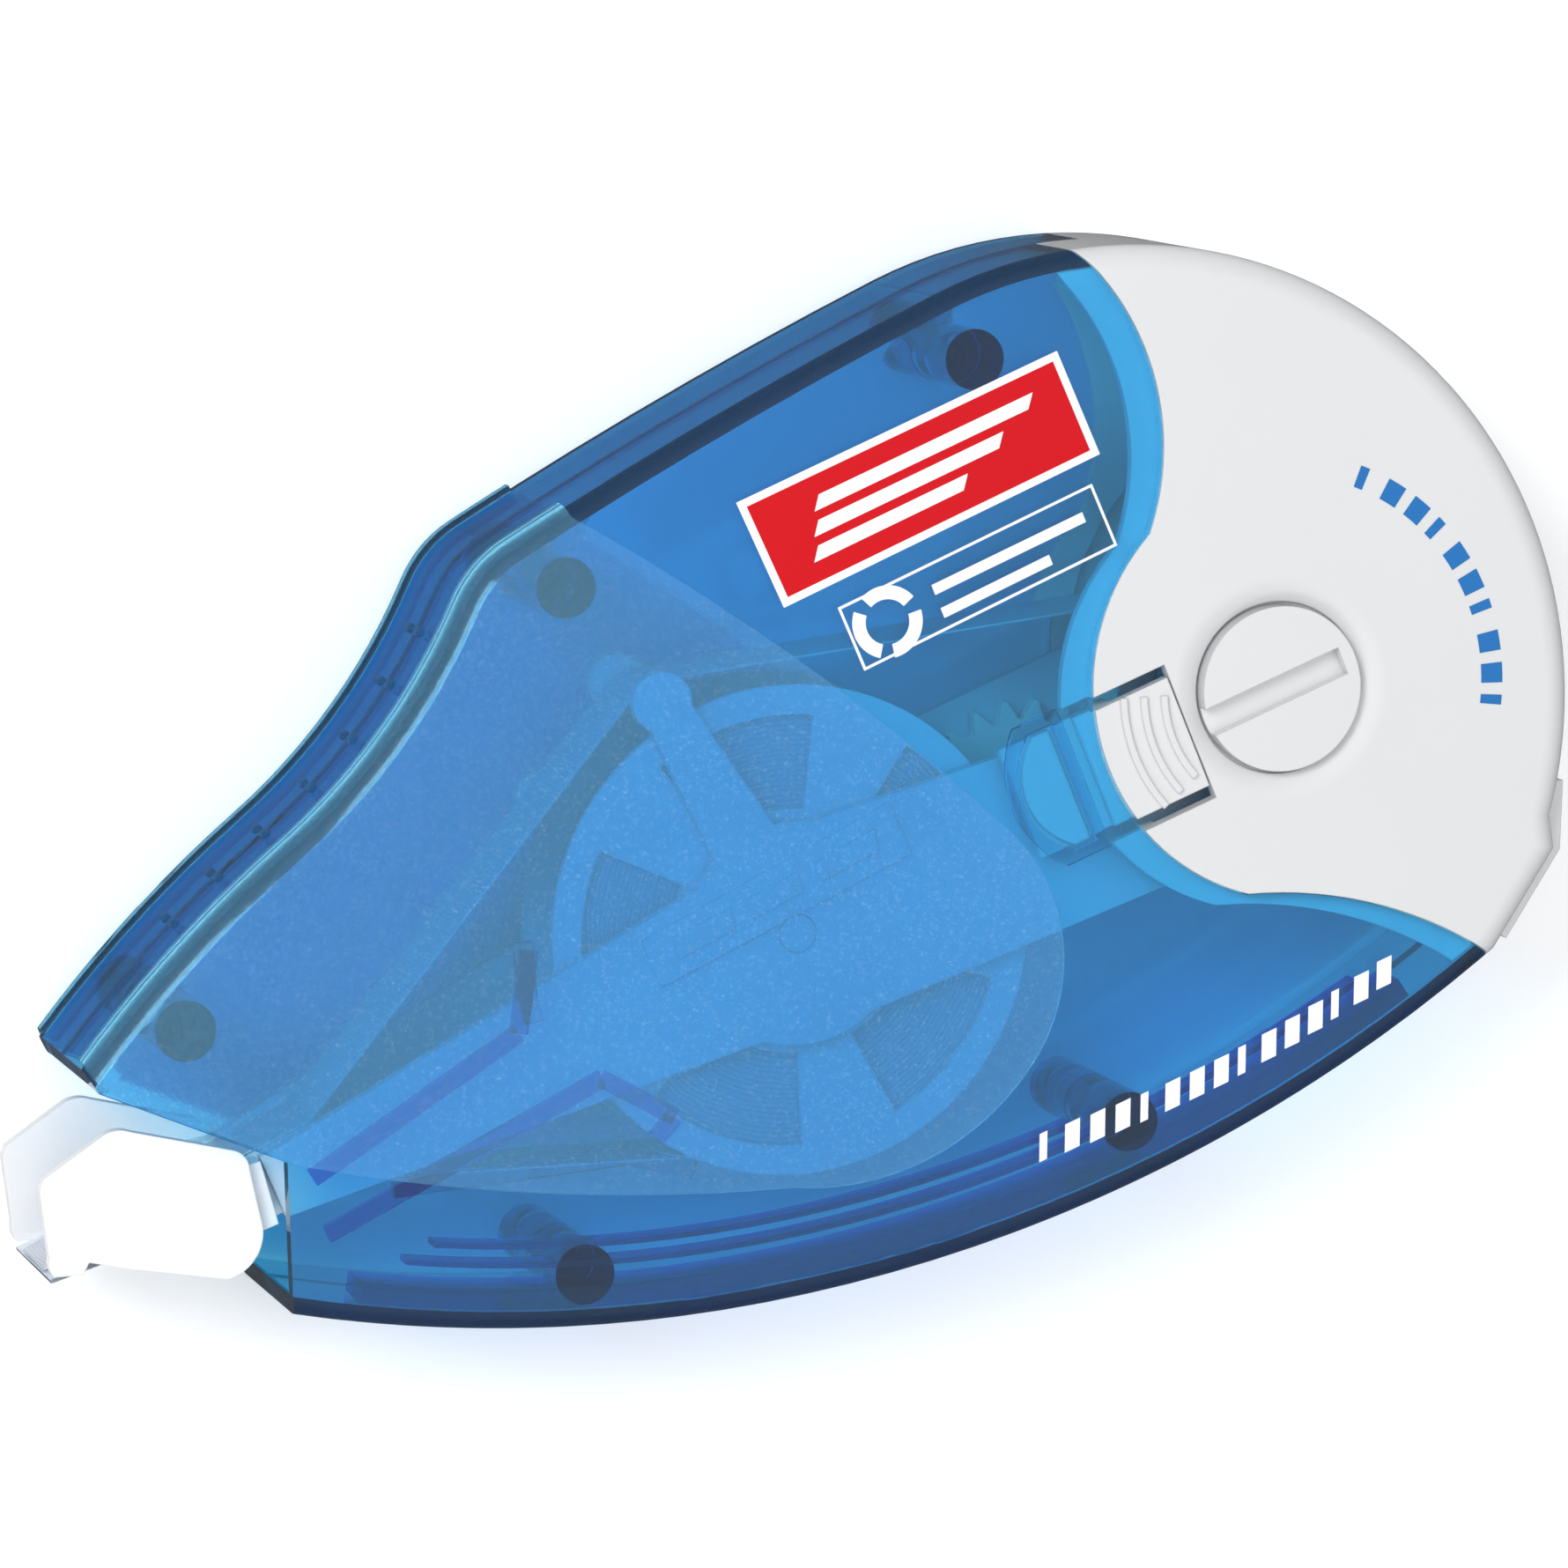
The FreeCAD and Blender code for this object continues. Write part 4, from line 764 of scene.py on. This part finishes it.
@dataclass
class Housing:
    """The clear blue housing with its frosted skins and printed marks."""

    palette: Palette
    workshop: Workshop
    face: float = 21.5
    ink: float = 0.03
    lift: float = 0.02
    label_corners: tuple[Pair, Pair, Pair, Pair] = ((7.9, 25.4), (36.3, 26.0), (36.1, 35.0), (7.5, 34.6))
    label_border: float = 0.07
    outline_corners: tuple[Pair, Pair, Pair, Pair] = ((12.0, 18.1), (34.9, 18.7), (34.8, 24.1), (11.9, 23.6))
    outline_width: float = 0.22
    badge_centre: Pair = (15.2, 20.9)
    badge_radius: float = 2.9
    bar_slant: float = 0.03
    badge_hole: float = 0.62
    badge_arc: float = 96.0
    row_top: float = 22.0
    row_pitch: float = 2.0
    keel_bar_count: int = 15
    keel_bar_half: float = 1.05
    ridge_spots: tuple[Pair, ...] = (
        (-18.2, 34.3), (-22.1, 31.6), (-26.5, 28.9), (-30.8, 26.5), (-35.4, 24.3), (-40.1, 22.6), (-44.8, 21.0),
    )
    ridge_half: float = 0.42
    ridge_proud: float = 0.5
    ridge_reach: float = 2.5
    ridge_gap: float = 0.25
    ridge_sunk: float = 0.05
    parting: float = 11.0
    guide_runs: tuple[tuple[Pair, ...], ...] = (
        ((-21.0, 8.8), (-24.3, 3.1), (-43.7, -0.4)), ((-17.5, -9.4), (-15.4, -8.4), (-19.6, -3.1), (-44.4, -5.0)),
    )
    guide_half: float = 0.7
    guide_low: float = 19.25
    guide_high: float = 20.0
    rail_top: float = 19.8
    rails: tuple[KeelRail, ...] = (
        KeelRail("keel_rail", inner=3.3, outer=1.68, low=15.0, left=-45.0, right=44.5),
        KeelRail("keel_rib_low", inner=5.4, outer=4.9, low=17.5, left=-42.0, right=41.5),
        KeelRail("keel_rib_high", inner=6.9, outer=6.4, low=17.5, left=-40.0, right=14.0),
    )
    below_belly: float = -60.0

    def inked(
        self, name: str, outlines: Iterable[Sequence[Pair]], material: bpy.types.Material, level: int = 0,
    ) -> bpy.types.Object:
        """Prints solid shapes on the near face.

        Args:
            name: the piece's name.
            outlines: the shapes, in millimetres.
            material: the ink.
            level: how many inks lie under this one.

        Returns:
            The piece.
        """
        low = self.face + self.lift + level * self.ink
        shape = self.workshop.prisms(outlines, low, low + self.ink)
        return self.workshop.finish_piece(name, shape, material, Body.HOUSING, Slot.GLOSS_WHITE)

    def label_point(self, across: float, up: float) -> Pair:
        """A place on the label, from 0 to 1 each way."""
        low_left, low_right, high_right, high_left = self.label_corners
        return along(along(low_left, low_right, across), along(high_left, high_right, across), up)

    def label_patch(self, left: float, right: float, low: float, high: float, slant: float = 0.0) -> list[Pair]:
        """A four-sided patch of the label, leaning by slant."""
        corners = ((left, low), (right, low), (right + slant, high), (left + slant, high))
        return [self.label_point(across, up) for across, up in corners]

    def print_label(self) -> None:
        """A white label with a red field and three plain slanted bars."""
        self.inked("label_ground", [self.label_patch(0.0, 1.0, 0.0, 1.0)], self.palette.white_ink)
        edge = self.label_border
        side = edge * 0.32
        self.inked("label_field", [self.label_patch(side, 1 - side, edge, 1 - edge)], self.palette.red_ink, 1)
        bars = [
            self.label_patch(0.13, 0.60, 0.24, 0.36, self.bar_slant),
            self.label_patch(0.16, 0.74, 0.44, 0.56, self.bar_slant),
            self.label_patch(0.19, 0.86, 0.64, 0.76, self.bar_slant),
        ]
        self.inked("label_bars", bars, self.palette.white_ink, 2)

    def print_outline(self) -> None:
        """A fine outlined box beside a round badge."""
        corners = self.outline_corners
        middle = (sum(p[0] for p in corners) / 4, sum(p[1] for p in corners) / 4)
        shrink = self.outline_width
        inner = [
            (x - math.copysign(shrink, x - middle[0]), y - math.copysign(shrink, y - middle[1])) for x, y in corners
        ]
        low = self.face + self.lift
        box = self.workshop.bands([(corners, inner)], low, low + self.ink)
        self.workshop.finish_piece("outline_box", box, self.palette.white_ink, Body.HOUSING, Slot.GLOSS_WHITE)
        hole = self.badge_radius * self.badge_hole
        ring = [
            arc_bar(self.badge_centre, hole, self.badge_radius, start, start + self.badge_arc, 16)
            for start in (20, 140, 260)
        ]
        self.inked("badge_arcs", ring, self.palette.white_ink, 1)
        rows = []
        for row, (left, right) in enumerate(((19.6, 33.2), (19.6, 29.4))):
            base = self.row_top - row * self.row_pitch
            rows.append([(left, base - 0.75), (right, base - 0.5), (right, base + 0.35), (left, base + 0.1)])
        self.inked("outline_rows", rows, self.palette.white_ink, 1)

    def print_chevrons(self) -> None:
        """A row of plain slanted bars along the keel."""
        bars = []
        half = self.keel_bar_half
        for i in range(self.keel_bar_count):
            share = i / (self.keel_bar_count - 1)
            x = 10.8 + 31.2 * share
            y = -23.35 - 1.15 * math.sin(math.pi * share) + 0.75 * share
            width = 1.35 if i % 4 else 0.7
            foot, head = x - 0.55, x + 0.35
            bars.append([(foot, y - half), (foot + width, y - half), (head + width, y + half), (head, y + half)])
        self.inked("keel_bars", bars, self.palette.white_ink)

    def ridge(self, shape: bmesh.types.BMesh, foot: Vector, across: Vector, out: Vector, low: float) -> None:
        """Adds one lens-shaped ridge that stands on the side wall.

        Args:
            shape: the mesh to add to, in metres.
            foot: where the ridge stands, in millimetres.
            across: the direction along the wall.
            out: the direction off the wall.
            low: the lower height, in millimetres.
        """
        rows = []
        steps, turns = 8, 8
        for i in range(steps + 1):
            swell = math.sin(math.pi * (0.04 + 0.92 * i / steps)) ** 0.6
            row = []
            for j in range(turns + 1):
                turn = math.pi * j / turns
                beside = self.ridge_half * math.cos(turn) * (0.5 + 0.5 * swell)
                proud = self.ridge_proud * math.sin(turn) * swell - self.ridge_sunk
                spot = foot + across * beside + out * proud
                row.append(shape.verts.new((spot.x * MM, spot.y * MM, (low + self.ridge_reach * i / steps) * MM)))
            rows.append(row)
        for row, following in zip(rows, rows[1:]):
            for j in range(turns):
                shape.faces.new((row[j], row[j + 1], following[j + 1], following[j]))
            shape.faces.new((row[turns], row[0], following[0], following[turns]))
        shape.faces.new(list(reversed(rows[0])))
        shape.faces.new(rows[-1])

    def shell_tree(self) -> BVHTree:
        """The near shell's mesh, ready for ray casts."""
        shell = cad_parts["near_shell"]
        place = shell.matrix_world
        spots = [place @ v.co for v in shell.data.vertices]
        return BVHTree.FromPolygons(spots, [tuple(p.vertices) for p in shell.data.polygons])

    def belly_line(self, tree: BVHTree, inset: float, left: float, right: float, count: int = 60) -> list[Pair]:
        """The belly's outline moved inwards.

        Args:
            tree: the shell's mesh.
            inset: how far inwards, in millimetres.
            left: where it starts along the body.
            right: where it ends.
            count: how many steps it has.

        Returns:
            Its points from left to right, in millimetres.
        """
        feet = []
        for i in range(count + 1):
            x = left + (right - left) * i / count
            start = Vector((x, self.below_belly, self.parting + 2.0)) * MM
            hit = tree.ray_cast(start, Vector((0.0, 1.0, 0.0)))[0]
            feet.append(Vector((x, hit.y / MM, 0.0)))
        moved = []
        for i, foot in enumerate(feet):
            run = (feet[min(i + 1, count)] - feet[max(i - 1, 0)]).normalized()
            moved.append((foot.x - run.y * inset, foot.y + run.x * inset))
        return moved

    def lay_guides(self) -> None:
        """Two bent ribs under the near face that lead the cassette's neck to the mouth, in a darker blue that paints
        the shade seen along them.
        """
        outlines = []
        for run in self.guide_runs:
            for (x, y), (u, v) in zip(run, run[1:]):
                side = Vector((y - v, u - x)).normalized() * self.guide_half
                near = [(x + side.x, y + side.y), (x - side.x, y - side.y)]
                far = [(u - side.x, v - side.y), (u + side.x, v + side.y)]
                outlines.append(near + far)
        shape = self.workshop.prisms(outlines, self.guide_low, self.guide_high)
        self.workshop.finish_piece("guide_ribs", shape, self.palette.painted_shade_blue, Body.HOUSING, Slot.CLEAR_BLUE)

    def lay_keel(self) -> None:
        """Long rails inside the belly: a deep one on the wall, and two shallow ones above it, in a darker blue that
        paints the shade along the belly.
        """
        tree = self.shell_tree()
        for rail in self.rails:
            outer = self.belly_line(tree, rail.outer, rail.left, rail.right)
            inner = self.belly_line(tree, rail.inner, rail.left, rail.right)
            shape = self.workshop.prisms([outer + list(reversed(inner))], rail.low, self.rail_top)
            self.workshop.finish_piece(rail.name, shape, self.palette.painted_shade_blue, Body.HOUSING, Slot.CLEAR_BLUE)

    def raise_ridges(self) -> None:
        """Two rows of finger ridges down the back of the nose, one beside each side of the parting line."""
        tree = self.shell_tree()
        shape = bmesh.new()
        spots = [Vector((x, y, 0.0)) for x, y in self.ridge_spots]
        for i, spot in enumerate(spots):
            across = (spots[min(i + 1, len(spots) - 1)] - spots[max(i - 1, 0)]).normalized()
            out = Vector((across.y, -across.x, 0.0))
            out = out if out.y > 0 else -out
            start = (spot + out * 8.0 + Vector((0.0, 0.0, self.parting + 1.5))) * MM
            hit = tree.ray_cast(start, -out)[0]
            foot = Vector((hit.x, hit.y, 0.0)) / MM
            for low in (self.parting + self.ridge_gap, self.parting - self.ridge_gap - self.ridge_reach):
                self.ridge(shape, foot, across, out, low)
        blue = self.palette.slots[Slot.CLEAR_BLUE]
        self.workshop.finish_piece("finger_ridges", shape, blue, Body.HOUSING, Slot.CLEAR_BLUE)

    def build(self) -> None:
        """Dresses the shells and skins, adds the ridges, guides and rails, and prints the marks."""
        for node in ("near_shell", "far_shell"):
            self.palette.dress(node, Slot.CLEAR_BLUE)
        for node in ("near_grip_panel", "far_grip_panel"):
            self.palette.dress(node, Slot.FROSTED_BLUE)
        self.raise_ridges()
        self.lay_guides()
        self.lay_keel()
        self.print_label()
        self.print_outline()
        self.print_chevrons()


@dataclass
class RearCap:
    """The white rear cap with its latch, knob and printed arc."""

    palette: Palette
    workshop: Workshop
    face: float = 21.5
    ink: float = 0.03
    knob_centre: Pair = (43.2, 2.4)
    arc_inner: float = 17.1
    arc_outer: float = 18.9
    arc_start: float = 47.0
    arc_end: float = -34.0
    lift: float = 0.02
    tick_count: int = 10
    long_tick: float = 0.62
    short_tick: float = 0.3

    def print_arc(self) -> None:
        """Plain blue ticks round the knob."""
        low = self.face + self.lift
        ticks = []
        span = (self.arc_end - self.arc_start) / self.tick_count
        for i in range(self.tick_count):
            start = self.arc_start + span * i
            end = start + span * (self.long_tick if i % 3 else self.short_tick)
            ticks.append(arc_bar(self.knob_centre, self.arc_inner, self.arc_outer, start, end))
        shape = self.workshop.prisms(ticks, low, low + self.ink)
        self.workshop.finish_piece("turn_ticks", shape, self.palette.blue_ink, Body.CASSETTE, Slot.GLOSS_WHITE)

    def build(self) -> None:
        """Dresses the cap and prints its arc."""
        for node in ("near_rear_cover", "far_rear_cover", "latch_button", "tension_knob"):
            self.palette.dress(node, Slot.GLOSS_WHITE)
        self.print_arc()


@dataclass
class Cassette:
    """The refill cassette: frame, arm, tip and its raised marks."""

    palette: Palette
    workshop: Workshop
    arm_face: float = 16.9
    raised: float = 0.18

    def raise_marks(self) -> None:
        """Plain raised bars on the arm's panel."""
        bars = [
            [(-9.8, 2.3), (-4.6, 2.6), (-4.3, 4.4), (-9.5, 4.1)],
            [(-3.2, 2.7), (1.6, 3.0), (1.9, 4.7), (-2.9, 4.4)],
            [(3.2, 3.1), (8.6, 3.4), (8.9, 5.2), (3.5, 4.8)],
        ]
        shape = self.workshop.prisms(bars, self.arm_face, self.arm_face + self.raised)
        white = self.palette.slots[Slot.CASSETTE_WHITE]
        self.workshop.finish_piece("arm_marks", shape, white, Body.CASSETTE, Slot.CASSETTE_WHITE)

    def build(self) -> None:
        """Dresses the cassette's pieces and raises its marks."""
        for node in ("cassette_frame", "cassette_arm"):
            self.palette.dress(node, Slot.CASSETTE_WHITE)
        for node in ("near_tip_wing", "far_tip_wing", "tip_holder"):
            self.palette.dress(node, Slot.SATIN_WHITE)
        self.palette.dress("applicator_blade", Slot.BLADE_CLEAR)
        self.raise_marks()


@dataclass
class GearTrain:
    """Gears, spools, pawl and clutch."""

    palette: Palette

    def build(self) -> None:
        """Dresses the moving pieces."""
        for node in ("supply_gear", "idler_gear", "take_up_gear", "ratchet_pawl"):
            self.palette.dress(node, Slot.ACETAL)
        for node in ("supply_spool", "supply_flange", "take_up_spool"):
            self.palette.dress(node, Slot.CASSETTE_WHITE)
        self.palette.dress("clutch_ring", Slot.CLUTCH_RUBBER)


@dataclass
class Tapes:
    """The correction tape and its backing ribbon."""

    palette: Palette

    def build(self) -> None:
        """Dresses the rolls and the free runs."""
        for node in ("tape_roll", "fresh_tape"):
            self.palette.dress(node, Slot.CORRECTION_TAPE)
        for node in ("used_ribbon_roll", "used_ribbon"):
            self.palette.dress(node, Slot.BACKING_RIBBON)
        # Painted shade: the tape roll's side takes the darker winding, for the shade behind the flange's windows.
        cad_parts["tape_roll"].data.materials[0] = self.palette.shaded_roll_side


@dataclass
class Studio:
    """Floor, lamps, world and camera."""

    aim: tuple[float, float, float] = (0.0055, 0.0086, 0.011)
    distance: float = 0.6127
    slide: float = 0.001056
    right: tuple[float, float, float] = (0.88624, -0.36694, 0.28274)
    up: tuple[float, float, float] = (0.41326, 0.90204, -0.12470)
    toward: tuple[float, float, float] = (-0.20928, 0.22736, 0.95106)
    lens: float = 175.96
    floor_reach: float = 3.0
    floor_level: float = -0.0002

    def lay_floor(self) -> None:
        """A plain pale floor just under the roller."""
        shape = bmesh.new()
        reach = self.floor_reach
        signs = ((-1, -1), (1, -1), (1, 1), (-1, 1))
        shape.faces.new([shape.verts.new((x * reach, y * reach, self.floor_level)) for x, y in signs])
        mesh = bpy.data.meshes.new("floor")
        shape.to_mesh(mesh)
        shape.free()
        tree = MaterialTree("PaleFloor")
        tree.shader.inputs["Base Color"].default_value = (0.90, 0.90, 0.90, 1.0)
        tree.shader.inputs["Roughness"].default_value = 0.9
        tree.shader.inputs["Specular IOR Level"].default_value = 0.1
        tree.shader.inputs["Emission Color"].default_value = (1.0, 1.0, 1.0, 1.0)
        tree.shader.inputs["Emission Strength"].default_value = 0.18
        mesh.materials.append(tree.material)
        floor = bpy.data.objects.new("floor", mesh)
        bpy.context.scene.collection.objects.link(floor)
        floor.visible_glossy = False

    def lamp(
        self, name: str, place: tuple[float, float, float], size: float, watts: float, mirrored: bool = True,
    ) -> None:
        """Hangs a soft square lamp that faces the roller.

        Args:
            name: the lamp's name.
            place: where it hangs, in metres.
            size: its side, in metres.
            watts: its power.
            mirrored: whether shiny faces mirror it.
        """
        data = bpy.data.lights.new(name, "AREA")
        data.shape = "SQUARE"
        data.size = size
        data.energy = watts
        lamp = bpy.data.objects.new(name, data)
        lamp.location = place
        lamp.rotation_euler = (-Vector(place)).to_track_quat("-Z", "Y").to_euler()
        lamp.visible_glossy = mirrored
        bpy.context.scene.collection.objects.link(lamp)

    def hang_lamps(self) -> None:
        """A key lamp, a wide top lamp and a low rim lamp; only the rim lamp is mirrored in shiny faces."""
        self.lamp("key_lamp", (-0.35, 0.5, 0.65), 0.35, 4.2, mirrored=False)
        self.lamp("top_lamp", (0.1, 0.1, 1.6), 1.6, 9.5, mirrored=False)
        self.lamp("rim_lamp", (-0.5, -0.45, 0.4), 0.25, 0.9)

    def light_world(self) -> None:
        """A nearly white surround that fades towards the horizon."""
        world = bpy.data.worlds.new("surround")
        world.use_nodes = True
        nodes, links = world.node_tree.nodes, world.node_tree.links
        place = nodes.new("ShaderNodeTexCoord")
        split = nodes.new("ShaderNodeSeparateXYZ")
        links.new(place.outputs["Generated"], split.inputs[0])
        ramp = nodes.new("ShaderNodeMapRange")
        ramp.inputs["From Min"].default_value = 0.0
        ramp.inputs["From Max"].default_value = 0.9
        ramp.inputs["To Min"].default_value = 0.10
        ramp.inputs["To Max"].default_value = 0.65
        links.new(split.outputs["Z"], ramp.inputs["Value"])
        background = nodes["Background"]
        background.inputs["Color"].default_value = (0.97, 0.985, 1.0, 1.0)
        links.new(ramp.outputs["Result"], background.inputs["Strength"])
        bpy.context.scene.world = world
        bpy.context.scene.view_settings.view_transform = "Standard"

    def place_camera(self) -> None:
        """A long lens that looks down on the lying roller."""
        right, up, toward = (Vector(v) for v in (self.right, self.up, self.toward))
        data = bpy.data.cameras.new("camera")
        data.lens = self.lens
        data.sensor_width = 36.0
        data.clip_end = 20.0
        camera = bpy.data.objects.new("camera", data)
        spot = Vector(self.aim) + toward * self.distance - right * self.slide + up * self.slide
        turned = Matrix((right, up, toward)).transposed().to_4x4()
        camera.matrix_world = Matrix.Translation(spot) @ turned
        bpy.context.scene.collection.objects.link(camera)
        bpy.context.scene.camera = camera

    def build(self) -> None:
        """Sets up the whole studio."""
        self.lay_floor()
        self.hang_lamps()
        self.light_world()
        self.place_camera()


def main() -> None:
    """Builds every sub-assembly's looks in order."""
    logging.basicConfig(level=logging.INFO, format="%(name)s: %(message)s")
    palette = Palette(Groups())
    workshop = Workshop(palette)
    Studio().build()
    Housing(palette, workshop).build()
    RearCap(palette, workshop).build()
    Cassette(palette, workshop).build()
    GearTrain(palette).build()
    Tapes(palette).build()
    LOG.info("built %d pieces", len(workshop.made))


if __name__ == "__main__":
    main()
